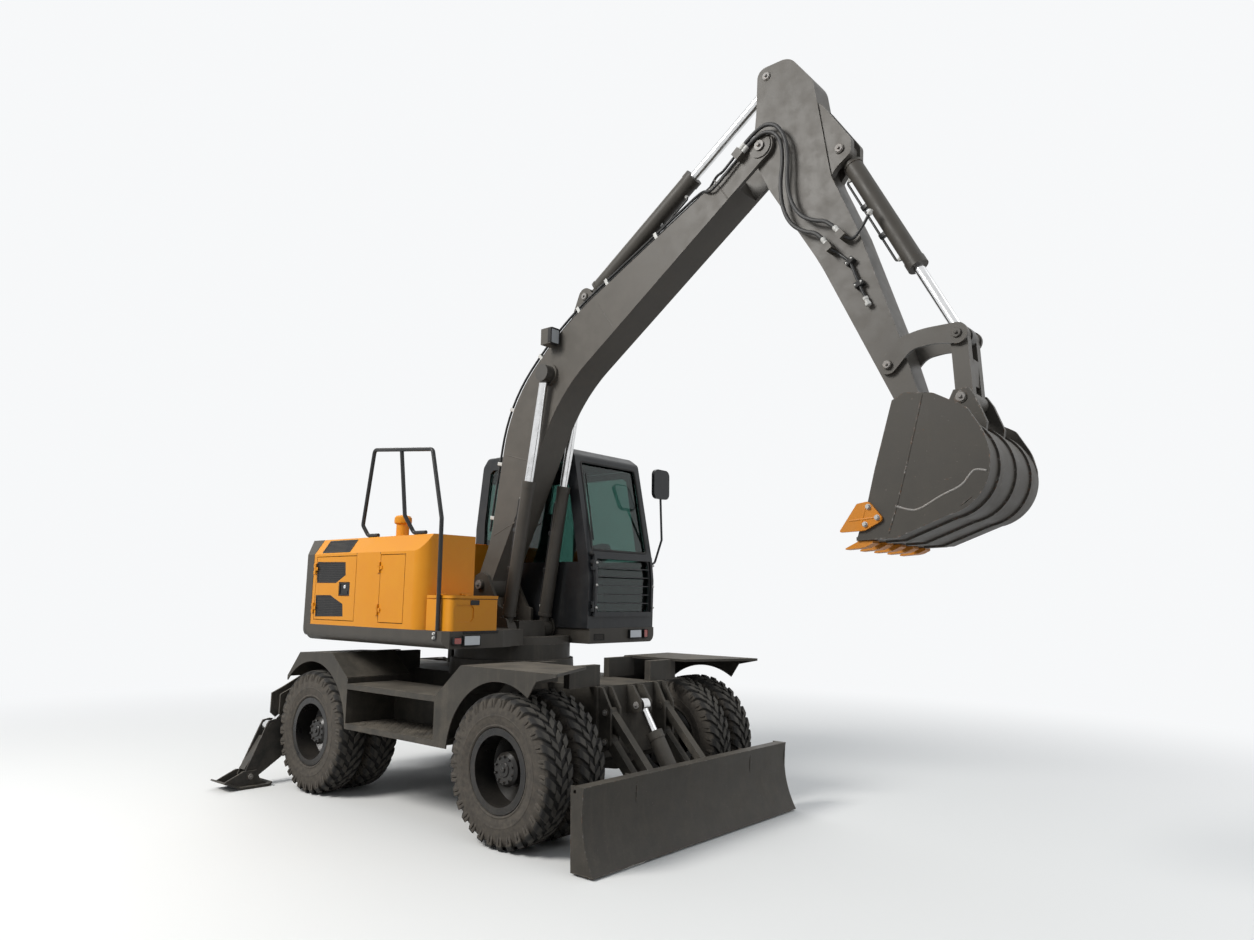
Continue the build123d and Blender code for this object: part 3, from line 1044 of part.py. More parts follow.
STICK_OUTLINE = [
    (3711, 3034, 0), (3203, 4089, 2500), (2804, 4754, 500), (2652, 5080, 250), (2690, 5420, 400),
    (2705, 5775, 75), (2985, 5775, 150), (3175, 5510, 200), (3300, 4720, 300), (3494, 4259, 300),
    (3759, 3461, 600), (3866, 3078, 0), (3951, 2895, 0), (3789, 2895, 0),
]
STICK_NOSE_HALF_WIDTH = 142
with BuildPart() as stick:
    side_form(STICK_OUTLINE, (-STICK_HALF_WIDTH, STICK_HALF_WIDTH))
    cross_pin(BUCKET_PIN, 82, (-STICK_HALF_WIDTH, STICK_HALF_WIDTH))
    cross_pin(BUCKET_PIN, 62, (-STICK_NOSE_HALF_WIDTH, STICK_NOSE_HALF_WIDTH))
    for y in both_sides(48, 100):
        ears = [(3150, 5345, 0), (3230, 5300, 0), (3455, 4955, 60), (3450, 4850, 50), (3340, 4775, 60),
            (3280, 4700, 0)]
        side_form(ears, y)
    slot = [(2560, 5480), (2700, 5500), (2812, 5565), (2900, 5612), (3000, 5718), (3037, 5790),
        (3037, 5900), (2500, 5900)]
    side_plate(slot, (-40 - EYE_CLEARANCE, 40 + EYE_CLEARANCE), Mode.SUBTRACT)
    for y in both_sides(40 + EYE_CLEARANCE, STICK_HALF_WIDTH + 6):
        cross_pin(ARM_CYLINDER_TOP, PIN_RADIUS, y)
    cross_pin(STICK_PIN, PIN_RADIUS + PIN_CLEARANCE, (-STICK_HALF_WIDTH - 1, STICK_HALF_WIDTH + 1),
        Mode.SUBTRACT)
    cross_pin(BUCKET_CYLINDER_BASE, PIN_RADIUS, (-STICK_HALF_WIDTH, STICK_HALF_WIDTH))
    cross_pin(ROCKER_PIN, 30, (-STICK_HALF_WIDTH - 48, STICK_HALF_WIDTH + 48))
    cross_pin(BUCKET_PIN, PIN_RADIUS + PIN_CLEARANCE,
        (-STICK_NOSE_HALF_WIDTH - 1, STICK_NOSE_HALF_WIDTH + 1),
              Mode.SUBTRACT)
    for route in (HOSE_OUTER_ROUTE, HOSE_INNER_ROUTE):
        clamp(route[-1], route[-2], 24, 60, (HOSE_Y - 24, -STICK_HALF_WIDTH + 1), SEAT_GAP)
save(stick.part, "stick")


def hose(route, name):
    """Sweeps a free hose along its route: straight runs joined by tangent arcs."""
    points = [(x, HOSE_Y, z) for x, z in route]
    radii = []
    for (x0, z0), (x1, z1), (x2, z2) in zip(route, route[1:], route[2:]):
        run_in, run_out = hypot(x1 - x0, z1 - z0), hypot(x2 - x1, z2 - z1)
        cosine = ((x1 - x0) * (x2 - x1) + (z1 - z0) * (z2 - z1)) / (run_in * run_out)
        radii.append(0.45 * min(run_in, run_out) / tan(acos(cosine) / 2))
    print(name, "bend radii", [round(radius) for radius in radii])
    with BuildPart() as piece:
        with BuildLine() as path:
            FilletPolyline(*points, radius=radii)
        with BuildSketch(Plane(origin=path.line @ 0, z_dir=path.line % 0)) as section:
            Circle(HOSE_RADIUS)
        sweep(section.sketch, path=path.line)
    save(piece.part, name)


hose(HOSE_OUTER_ROUTE, "hose_outer")
hose(HOSE_INNER_ROUTE, "hose_inner")

ROCKER_INNER = STICK_HALF_WIDTH + EYE_CLEARANCE
ROCKER_PLATE = 24
with BuildPart() as rocker:
    outline = [(3660, 3315, 0), (3760, 3425, 150), (3920, 3458, 600), (4140, 3458, 0), (4150, 3322, 0),
               (3990, 3350, 400), (3850, 3335, 120), (3745, 3225, 0)]
    for y in both_sides(ROCKER_INNER, ROCKER_INNER + ROCKER_PLATE):
        side_form(outline, y)
        cross_pin(ROCKER_PIN, 62, y)
        cross_pin(ROD_PIN, 68, y)
        cross_pin(ROCKER_PIN, 31, y, Mode.SUBTRACT)
        pin = sorted((y[0] if y[0] < 0 else y[0] - 60, y[1] if y[0] > 0 else y[1] + 60))
        cross_pin(ROD_PIN, 32, (pin[0] - 8 * (y[0] < 0), pin[1] + 8 * (y[0] > 0)))
save(rocker.part, "rocker")

BUCKET_EAR_INNER = 148
BUCKET_RIB = 13
BUCKET_RIB_Y = 300
BUCKET_RIB_WIDTH = 60
BUCKET_EAR_PLATE = 34
with BuildPart() as bucket_link:
    for y in both_sides(48, ROCKER_INNER - 4):
        side_plate([(4090, 3400), (4195, 3400), (4215, 3000), (4110, 3000)], y)
        cross_pin(ROD_PIN, 58, y)
        cross_pin(ROD_PIN, 33, y, Mode.SUBTRACT)
    block((4112, 4205), (-50, 50), (3060, 3230))
    cross_pin(BUCKET_LINK_PIN, 60, (-BUCKET_EAR_INNER + 6, BUCKET_EAR_INNER - 6))
save(bucket_link.part, "bucket_link")

with BuildPart() as bucket:
    sides = [(3849, 2937, 0), (3926, 2976, 25), (4100, 2950, 100), (4290, 2840, 60), (4381, 2683, 300),
             (4413, 2548, 150), (4350, 2355, 150), (4166, 2224, 100), (3853, 2103, 200), (3598, 2094, 0),
             (3676, 2323, 200), (3727, 2523, 300)]
    for y in both_sides(BUCKET_HALF_WIDTH - BUCKET_WALL, BUCKET_HALF_WIDTH):
        side_form(sides, y)
    with BuildSketch(Plane.XZ.offset(-BUCKET_HALF_WIDTH)) as wrap:
        with BuildLine():
            Line((3800, 2745), (4230, 2790))
            ThreePointArc((4230, 2790), (4405, 2560), (4166, 2224))
            Line((4166, 2224), (3853, 2103))
            Line((3853, 2103), (3598, 2094))
            Line((3598, 2094), (3598, 2094 + BUCKET_WALL))
            Line((3598, 2094 + BUCKET_WALL), (3849, 2103 + BUCKET_WALL))
            Line((3849, 2103 + BUCKET_WALL), (4156, 2224 + BUCKET_WALL))
            ThreePointArc((4156, 2224 + BUCKET_WALL), (4405 - BUCKET_WALL, 2560), (4225, 2790 - BUCKET_WALL))
            Line((4225, 2790 - BUCKET_WALL), (3797, 2745 - BUCKET_WALL))
            Line((3797, 2745 - BUCKET_WALL), (3800, 2745))
        make_face()
    extrude(wrap.sketch, amount=2 * BUCKET_HALF_WIDTH)
    for middle in (-BUCKET_RIB_Y, 0, BUCKET_RIB_Y):
        with BuildSketch(Plane.XZ.offset(-middle - BUCKET_RIB_WIDTH / 2)) as rib:
            with BuildLine():
                ThreePointArc((4230, 2790), (4405, 2560), (4166, 2224))
                Polyline((4166, 2224), (3853, 2103), (3725, 2098.5))
                offset(amount=BUCKET_RIB, side=Side.LEFT)
            make_face()
        extrude(rib.sketch, amount=BUCKET_RIB_WIDTH)
    ears = [(3790, 2760), (3780, 2900), (3850, 2985), (3950, 2990), (4080, 2940), (4120, 3020), (4210, 3025),
            (4250, 2960), (4310, 2800), (4300, 2740), (4160, 2780)]
    for y in both_sides(BUCKET_EAR_INNER, BUCKET_EAR_INNER + BUCKET_EAR_PLATE):
        side_plate(ears, y)
        cross_pin(BUCKET_LINK_PIN, 36, (y[0] - 8 * (y[0] < 0), y[1] + 8 * (y[0] > 0)))
    reach = BUCKET_EAR_INNER + BUCKET_EAR_PLATE + 10
    cross_pin(BUCKET_PIN, PIN_RADIUS, (-reach, reach))
save(bucket.part, "bucket")

TEETH = 5
TOOTH_LENGTH = 96
TOOTH_ROOT = (84, 42)
TOOTH_TIP = (66, 8)
ADAPTER_Y = 46
with BuildPart() as bucket_teeth:
    adapter = [(3695, 2093.7, 0), (3602, 2093.7, 0), (3594, 2090, 4), (3601, 2048, 8), (3650, 2056, 60),
        (3695, 2078, 0)]
    for index in range(TEETH):
        middle = (index - (TEETH - 1) / 2) * (2 * BUCKET_HALF_WIDTH - 120) / (TEETH - 1)
        side_form(adapter, (middle - ADAPTER_Y, middle + ADAPTER_Y))
        tooth = Plane(origin=(3604, middle, 2070), x_dir=(0, 1, 0), z_dir=(-0.97, 0, -0.243))
        with BuildSketch(tooth):
            Rectangle(*TOOTH_ROOT)
        with BuildSketch(tooth.offset(TOOTH_LENGTH)):
            Rectangle(*TOOTH_TIP)
        loft()
    cutter = [(3613, 2318, 12), (3690, 2330, 30), (3785, 2215, 25), (3660, 2152, 80), (3490, 2146, 8)]
    for y in both_sides(BUCKET_HALF_WIDTH + SEAT_GAP, BUCKET_HALF_WIDTH + 18):
        side_form(cutter, y)
save(bucket_teeth.part, "bucket_teeth")

# Cab: a hollow shell with its windows and door opening cut, its panes, door, guard and fittings
CAB_PROFILE = [(CAB_REAR, CAB_FLOOR), (CAB_REAR, 2400), (-850, CAB_ROOF - 95), (-770, CAB_ROOF),
    (330, CAB_ROOF),
               (440, CAB_ROOF - 75), (630, 2130), (660, 1900), (650, CAB_FLOOR)]
CAB_ROUND = [0, 0, 60, 60, 50, 60, 300, 0, 0]
DOOR_PROFILE = [(-330, CAB_FLOOR + 45), (-330, CAB_ROOF - 125), (300, CAB_ROOF - 125),
    (375, CAB_ROOF - 165), (545, 2130),
                (565, 1900), (560, CAB_FLOOR + 45)]
GLASS_HEAD = CAB_ROOF - 195
DOOR_WINDOW = [(-270, 2080), (-270, GLASS_HEAD), (270, GLASS_HEAD), (325, GLASS_HEAD - 40), (480, 2080)]
RIGHT_HEAD = CAB_ROOF - 135
RIGHT_WINDOW = [(-800, 2050), (-800, 2450), (-740, RIGHT_HEAD - 30), (-700, RIGHT_HEAD), (290, RIGHT_HEAD),
                (340, RIGHT_HEAD - 40), (520, 2050)]
REAR_SIDE_WINDOW = [(-820, 2080), (-820, 2420), (-750, GLASS_HEAD + 10), (-400, GLASS_HEAD + 10),
    (-400, 2080)]
FRONT_WINDOWS = ((1600, 2080), (2160, RIGHT_HEAD))
FRONT_WINDOW_ROUND = 45
REAR_WINDOW = (2300, CAB_ROOF - 165)
ROOF_ROUND = 32
PANE = 6
DOOR_HINGE_HEIGHTS = (1650, 2250, 2850)
GUARD_HINGE = (682, CAB_INNER_Y + 40)
GUARD_HINGE_HEIGHTS = (1650, 2020)


def guard_knuckle(span):
    """Adds one knuckle of the window guard's upright hinge."""
    with BuildSketch(Plane.XY.offset(span[0])) as knuckle_section:
        with Locations(GUARD_HINGE):
            Circle(10)
    extrude(knuckle_section.sketch, amount=span[1] - span[0])


with BuildPart() as cab:
    side_form([(x, z, r) for (x, z), r in zip(CAB_PROFILE, CAB_ROUND)], (CAB_INNER_Y, CAB_OUTER_Y))
    for wall, inward in ((CAB_INNER_Y, 1), (CAB_OUTER_Y, -1)):
        round_edge((CAB_REAR - 1, CAB_PROFILE[-1][0]), (wall, CAB_ROOF), (inward, -1), ROOF_ROUND)
    with BuildSketch(Plane.XZ.offset(-(CAB_OUTER_Y - CAB_WALL))) as room:
        with BuildLine():
            Polyline(*CAB_PROFILE, close=True)
        make_face()
        offset(amount=-CAB_WALL, mode=Mode.REPLACE)
    extrude(room.sketch, amount=CAB_OUTER_Y - CAB_INNER_Y - 2 * CAB_WALL, mode=Mode.SUBTRACT)
    side_plate(DOOR_PROFILE, (CAB_OUTER_Y - CAB_WALL - 1, CAB_OUTER_Y + 1), Mode.SUBTRACT)
    side_plate(REAR_SIDE_WINDOW, (CAB_OUTER_Y - CAB_WALL - 1, CAB_OUTER_Y + 1), Mode.SUBTRACT)
    side_plate(RIGHT_WINDOW, (CAB_INNER_Y - 1, CAB_INNER_Y + CAB_WALL + 1), Mode.SUBTRACT)
    for low, high in FRONT_WINDOWS:
        with BuildSketch(Plane.YZ.offset(330)) as opening:
            with Locations((CAB_MIDDLE_Y, (low + high) / 2)):
                RectangleRounded(2 * FRONT_GLASS_HALF_WIDTH, high - low, FRONT_WINDOW_ROUND)
        extrude(opening.sketch, amount=370, mode=Mode.SUBTRACT)
    block((CAB_REAR - 1, CAB_REAR + CAB_WALL + 60), (CAB_INNER_Y + 100, CAB_OUTER_Y - 100), REAR_WINDOW,
        Mode.SUBTRACT)
    upright_hinge(DOOR_PROFILE[0][0] - HINGE_OFFSET, CAB_OUTER_Y, DOOR_HINGE_HEIGHTS, False)
    for height in GUARD_HINGE_HEIGHTS:
        for span in knuckle_spans(height, False):
            guard_knuckle(span)
            block((620, GUARD_HINGE[0]), (GUARD_HINGE[1] - 10, GUARD_HINGE[1] + 8), span)
save(cab.part, "cab")

with BuildPart() as cab_door:
    with BuildSketch(Plane.XZ.offset(-CAB_OUTER_Y)) as leaf:
        with BuildLine():
            Polyline(*DOOR_PROFILE, close=True)
        make_face()
        offset(amount=-PANEL_GAP, mode=Mode.REPLACE)
        with BuildLine():
            Polyline(*DOOR_WINDOW, close=True)
        make_face(mode=Mode.SUBTRACT)
    extrude(leaf.sketch, amount=CAB_WALL)
    upright_hinge(DOOR_PROFILE[0][0] - HINGE_OFFSET, CAB_OUTER_Y, DOOR_HINGE_HEIGHTS, True)
save(cab_door.part, "cab_door")


def pane(outline, y_middle):
    """Adds a flat pane that fills a side window less a seal gap."""
    with BuildSketch(Plane.XZ.offset(-(y_middle + PANE / 2))) as glass:
        with BuildLine():
            Polyline(*outline, close=True)
        make_face()
        offset(amount=-0.3, mode=Mode.REPLACE)
    extrude(glass.sketch, amount=PANE)


FRONT_RAKE = (630 - 440) / (CAB_ROOF - 75 - 2130)


def front_pane(outline, heights):
    """Adds a pane of the front: its bent section across the cab, with the opening's rounded corners."""
    half = FRONT_GLASS_HALF_WIDTH - SEAT_GAP
    side_plate(outline, (CAB_MIDDLE_Y - half, CAB_MIDDLE_Y + half))
    for side in (-1, 1):
        for height, up in ((heights[0], 1), (heights[1], -1)):
            corner = (CAB_MIDDLE_Y + side * half, height)
            round_edge((330, 700), corner, (-side, up), FRONT_WINDOW_ROUND)


with BuildPart() as cab_glass:
    pane(RIGHT_WINDOW, CAB_INNER_Y + CAB_WALL / 2)
    pane(REAR_SIDE_WINDOW, CAB_OUTER_Y - CAB_WALL / 2)
    low, high = FRONT_WINDOWS[0][0] + SEAT_GAP, FRONT_WINDOWS[0][1] - SEAT_GAP
    front_pane([(637, low), (631, low), (639, 1900), (617, high), (623, high), (646, 1900)], (low, high))
    low, high = FRONT_WINDOWS[1][0] + SEAT_GAP, FRONT_WINDOWS[1][1] - SEAT_GAP
    top_x = 602 - (high - low) * FRONT_RAKE
    front_pane([(602, low), (596, low), (top_x - 6, high), (top_x, high)], (low, high))
    side_plate([(CAB_REAR + 10, REAR_WINDOW[0] + SEAT_GAP), (CAB_REAR + 16, REAR_WINDOW[0] + SEAT_GAP),
                (CAB_REAR + 16, 2400), (-845, REAR_WINDOW[1] - SEAT_GAP), (-851, REAR_WINDOW[1] - SEAT_GAP),
                (CAB_REAR + 10, 2400)], (CAB_INNER_Y + 100 + SEAT_GAP, CAB_OUTER_Y - 100 - SEAT_GAP))
save(cab_glass.part, "cab_glass")

with BuildPart() as cab_door_glass:
    pane(DOOR_WINDOW, CAB_OUTER_Y - CAB_WALL / 2)
save(cab_door_glass.part, "cab_door_glass")

with BuildPart() as window_guard:
    guard_y = (CAB_INNER_Y + 50, CAB_OUTER_Y - 50)
    guard = [(664, 1560), (692, 1560), (700, 1900), (676, 2120), (650, 2120), (674, 1900)]
    side_plate(guard, guard_y)
    block((600, 720), (guard_y[0] + 30, guard_y[1] - 30), (1600, 2080), Mode.SUBTRACT)
    for index in range(1, 6):
        z = 1600 + index * 80
        block((670, 676), (guard_y[0] + 20, guard_y[1] - 20), (z - 4, z + 4))
    for height in GUARD_HINGE_HEIGHTS:
        for span in knuckle_spans(height, True):
            guard_knuckle(span)
            block((GUARD_HINGE[0] - 8, GUARD_HINGE[0] + 10), (GUARD_HINGE[1], guard_y[0] + 1), span)
save(window_guard.part, "window_guard")

with BuildPart() as seat:
    block((-560, -80), (520, 990), (CAB_FLOOR + CAB_WALL + 0.3, 1700))
    block((-520, 0), (510, 1000), (1700, 1960))
    side_plate([(-560, 1960), (-400, 1960), (-520, 2600), (-640, 2600)], (530, 980))
save(seat.part, "seat")

with BuildPart() as cab_controls:
    for y in ((400, 490), (1020, 1100)):
        block((-480, 60), y, (CAB_FLOOR + CAB_WALL + 0.3, 2040))
        cross = (y[0] + y[1]) / 2
        with BuildSketch(Plane.XY.offset(2040)) as lever:
            with Locations((0, cross)):
                Circle(14)
        extrude(lever.sketch, amount=170)
    side_plate([(300, CAB_FLOOR + CAB_WALL + 0.3), (420, CAB_FLOOR + CAB_WALL + 0.3), (330, 2110),
        (270, 2100)], (700, 800))
    wheel_plane = Plane(origin=(285, 750, 2120), z_dir=(-0.55, 0, 0.83))
    with BuildSketch(wheel_plane) as steering_wheel:
        Circle(185)
        Circle(160, mode=Mode.SUBTRACT)
        Rectangle(330, 34)
        Circle(50)
    extrude(steering_wheel.sketch, amount=22, both=True)
save(cab_controls.part, "cab_controls")

# Handrail, mirror and lamps
def tube(points, radius, bend):
    """Adds a bent round tube through these places."""
    with BuildLine() as path:
        FilletPolyline(*points, radius=bend)
    with BuildSketch(Plane(origin=path.line @ 0, z_dir=path.line % 0)) as section:
        Circle(radius)
    sweep(section.sketch, path=path.line)


RAIL_RADIUS = 17
RAIL_Y = -PLATFORM_HALF_WIDTH + 25
RAIL_IN = -PLATFORM_HALF_WIDTH + 110
RAIL_LEVEL = HOOD_TOP + RAIL_RADIUS + SEAT_GAP
with BuildPart() as handrail:
    tube([(457, RAIL_Y, PLATFORM_TOP + SEAT_GAP), (445, RAIL_Y, 2330), (279, RAIL_Y + 5, 2900),
        (-551, RAIL_Y + 5, 2978),
          (-746, RAIL_Y + 55, 2328), (-700, RAIL_IN, RAIL_LEVEL), (-560, RAIL_IN + 10, RAIL_LEVEL)],
          RAIL_RADIUS, 40)
    tube([(-150, RAIL_Y + 5, 2940), (-100, RAIL_Y + 35, 2383), (-30, RAIL_IN, RAIL_LEVEL),
        (120, RAIL_IN + 10, RAIL_LEVEL)],
         RAIL_RADIUS, 40)
save(handrail.part, "handrail")

LAMP_DEPTH = 24
# Front lamps: the face that each is bolted to, its Y span and its height span
LAMPS = [
    (DECK_FRONT, (-1062, -893), (1340, 1426)), (DECK_FRONT, (-1158, -1077), (1352, 1413)),
    (CAB_DECK_FRONT, (837, 1013), (1357, 1440)), (CAB_DECK_FRONT, (1043, 1105), (1357, 1440)),
]
with BuildPart() as mirror_and_lamps:
    tube([(610, CAB_OUTER_Y + 5, 2050), (612, 1290, 2080), (700, 1285, 2300), (712, 1245, 2720)], 11, 25)
    with BuildSketch(Plane.YZ.offset(695)) as mirror_head:
        with Locations((1245, 2845)):
            RectangleRounded(240, 290, 60)
    extrude(mirror_head.sketch, amount=35)
    for face, y, z in LAMPS:
        with BuildSketch(Plane.YZ.offset(face + SEAT_GAP)) as lamp:
            with Locations(((y[0] + y[1]) / 2, (z[0] + z[1]) / 2)):
                RectangleRounded(y[1] - y[0], z[1] - z[0], 14)
        extrude(lamp.sketch, amount=LAMP_DEPTH)
save(mirror_and_lamps.part, "mirror_and_lamps")
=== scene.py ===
import math
from functools import partial

import bpy
import bmesh
from mathutils import Matrix, Vector


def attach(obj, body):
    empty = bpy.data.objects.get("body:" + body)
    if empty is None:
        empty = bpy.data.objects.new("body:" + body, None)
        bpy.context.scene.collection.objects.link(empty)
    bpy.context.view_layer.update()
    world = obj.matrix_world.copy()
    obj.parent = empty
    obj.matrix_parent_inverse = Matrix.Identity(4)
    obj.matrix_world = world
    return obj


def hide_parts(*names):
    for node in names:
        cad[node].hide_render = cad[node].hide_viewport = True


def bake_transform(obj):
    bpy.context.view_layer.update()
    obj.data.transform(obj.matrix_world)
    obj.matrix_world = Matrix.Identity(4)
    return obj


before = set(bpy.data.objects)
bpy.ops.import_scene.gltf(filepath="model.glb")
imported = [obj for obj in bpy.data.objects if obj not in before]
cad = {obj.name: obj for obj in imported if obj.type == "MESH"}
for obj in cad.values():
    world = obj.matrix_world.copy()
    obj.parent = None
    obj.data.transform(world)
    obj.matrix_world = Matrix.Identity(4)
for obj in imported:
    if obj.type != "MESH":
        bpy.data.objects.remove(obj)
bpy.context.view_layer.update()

# The view: a phone held at eye height off the machine's front right corner.
# The lens is wide, and the picture is tilted a little under one degree.
VIEW_PLACE = Vector((5.9342, -5.3596, 1.7245))
VIEW_BEARING = math.radians(130.6119)
VIEW_RISE = math.radians(8.5399)
VIEW_TILT = math.radians(0.8499)

ahead = Vector((math.cos(VIEW_RISE) * math.cos(VIEW_BEARING),
                math.cos(VIEW_RISE) * math.sin(VIEW_BEARING),
                math.sin(VIEW_RISE)))
level_right = ahead.cross(Vector((0, 0, 1))).normalized()
level_up = level_right.cross(ahead)
picture_right = level_right * math.cos(VIEW_TILT) + level_up * math.sin(VIEW_TILT)
picture_up = level_up * math.cos(VIEW_TILT) - level_right * math.sin(VIEW_TILT)
camera = bpy.data.objects.new("camera", bpy.data.cameras.new("camera"))
facing = Matrix((picture_right, picture_up, -ahead)).transposed()
camera.matrix_world = Matrix.Translation(VIEW_PLACE) @ facing.to_4x4()
camera.data.sensor_width = 36
camera.data.lens = 24.56
camera.data.clip_end = 200
bpy.context.scene.collection.objects.link(camera)
bpy.context.scene.camera = camera
bpy.context.scene.view_settings.view_transform = "Standard"

# The studio: a pale floor that runs out into a white surround, a large soft
# lamp above and in front, and a weaker one that fills the machine's far side.
SURROUND = (0.93, 0.94, 0.95, 1)
FLOOR_PAINT = (0.80, 0.80, 0.79, 1)
# the floor gives the light it bounces a far darker colour than it shows: painted shade on the machine's
# undersides
FLOOR_BOUNCE_PAINTED_SHADE = (0.26, 0.25, 0.24, 1)
FLOOR_HALF = 60
FLOOR_FADES, FLOOR_ENDS = 3.2, 11.0


def shader(tree, kind, inputs=None, **settings):
    """Adds one shader node; an input is a value or another node's output."""
    made = tree.nodes.new("ShaderNode" + kind)
    for name, value in settings.items():
        setattr(made, name, value)
    for name, value in (inputs or {}).items():
        if isinstance(value, bpy.types.NodeSocket):
            tree.links.new(value, made.inputs[name])
        else:
            made.inputs[name].default_value = value
    return made


def worked(tree, kind, first, second=0.0, clamp=False):
    """Works out a sum, a product or the like."""
    return shader(tree, "Math", {0: first, 1: second}, operation=kind, use_clamp=clamp).outputs[0]


def mixed(tree, amount, first, second):
    return shader(tree, "Mix", {0: amount, 6: first, 7: second}, data_type="RGBA").outputs[2]


def spread(tree, value, low, high, to_low=0.0, to_high=1.0, **settings):
    """Stretches the range from low to high over another range."""
    return shader(tree, "MapRange", {"Value": value, "From Min": low, "From Max": high,
                                     "To Min": to_low, "To Max": to_high}, **settings).outputs[0]


def looked_at(tree):
    """Tells rays that show a thing, straight or in metal or glass, from those that light it."""
    ray = shader(tree, "LightPath").outputs
    seen = worked(tree, "MAXIMUM", ray["Is Camera Ray"], ray["Is Glossy Ray"])
    return worked(tree, "MAXIMUM", seen, ray["Is Transmission Ray"])


def new_material(name):
    """A material with its tree emptied down to the output node."""
    made = bpy.data.materials.new(name)
    made.use_nodes = True
    made.node_tree.nodes.clear()
    return made, made.node_tree


def new_piece(name, mesh, material, body):
    """Puts a finished mesh, drawn in the machine's own frame, on its body."""
    made = bpy.data.objects.new(name, mesh)
    bpy.context.scene.collection.objects.link(made)
    mesh.materials.append(material)
    if body:
        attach(made, body)
    return made


floor_mesh = bpy.data.meshes.new("floor")
floor_mesh.from_pydata([(x * FLOOR_HALF, y * FLOOR_HALF, 0)
                        for x, y in ((-1, -1), (1, -1), (1, 1), (-1, 1))], [], [(0, 1, 2, 3)])
floor_paint_and_shade, tree = new_material("floor_paint_and_shade")
place = shader(tree, "TexCoord")
reach = shader(tree, "VectorMath", {0: place.outputs["Object"]}, operation="LENGTH")
far = spread(tree, reach.outputs["Value"], FLOOR_FADES, FLOOR_ENDS, interpolation_type="SMOOTHSTEP")
seen = looked_at(tree)
# pale where it is seen, dark in the light it bounces up onto the machine: painted shade under the machine
matt = shader(tree, "BsdfPrincipled", {
    "Base Color": mixed(tree, seen, FLOOR_BOUNCE_PAINTED_SHADE, FLOOR_PAINT), "Roughness": 0.9})
glow = shader(tree, "Emission", {"Color": SURROUND, "Strength": 1.0})
both = shader(tree, "MixShader", {0: worked(tree, "MULTIPLY", far, seen), 1: matt.outputs[0],
                                  2: glow.outputs[0]})
shader(tree, "OutputMaterial", {"Surface": both.outputs[0]})
new_piece("floor", floor_mesh, floor_paint_and_shade, None)

world = bpy.data.worlds.new("studio")
bpy.context.scene.world = world
world.use_nodes = True
tree = world.node_tree
tree.nodes.clear()
place = shader(tree, "TexCoord")
height = shader(tree, "SeparateXYZ", {0: place.outputs["Generated"]})
sky = spread(tree, height.outputs["Z"], -0.1, 0.75, 0.10, 0.52)
lit = shader(tree, "Background", {"Color": (0.90, 0.95, 1.0, 1), "Strength": sky})
shown = shader(tree, "Background", {"Color": SURROUND, "Strength": 1.0})
both = shader(tree, "MixShader", {0: looked_at(tree), 1: lit.outputs[0], 2: shown.outputs[0]})
shader(tree, "OutputWorld", {"Surface": both.outputs[0]})

LAMPS = [  # name, place, aimed at, size, power, colour
    ("key", (-2.0, -9.5, 9.5), (0.3, 0, 1.8), 5.0, 1360, (1.0, 0.985, 0.955)),
    ("fill", (9.0, 2.0, 6.0), (0.3, 0, 1.5), 7.0, 190, (0.97, 0.985, 1.0)),
    ("back", (-8.0, 5.0, 9.0), (0, 0, 1.5), 7.0, 260, (1.0, 1.0, 1.0)),
]
for name, place, aim, size, power, colour in LAMPS:
    lamp = bpy.data.lights.new(name, "AREA")
    lamp.shape = "DISK"
    lamp.size = size
    lamp.energy = power
    lamp.color = colour
    holder = bpy.data.objects.new(name, lamp)
    holder.location = place
    holder.rotation_euler = (Vector(aim) - Vector(place)).to_track_quat("-Z", "Y").to_euler()
    bpy.context.scene.collection.objects.link(holder)

# The undercarriage: one welded box frame with the slew ring on its tower. It
# is plate steel, sprayed dark grey, and has been splashed with mud and dust.
DARK_GREY = (0.040, 0.037, 0.032, 1)
FADED_GREY = (0.066, 0.061, 0.053, 1)
ROAD_DUST = (0.27, 0.235, 0.185, 1)
BARE_STEEL = (0.34, 0.33, 0.32, 1)
RUST = (0.16, 0.070, 0.030, 1)


def noise(tree, at, scale, detail, rough=0.5):
    return shader(tree, "TexNoise", {"Vector": at, "Scale": scale, "Detail": detail,
                                     "Roughness": rough}).outputs["Fac"]


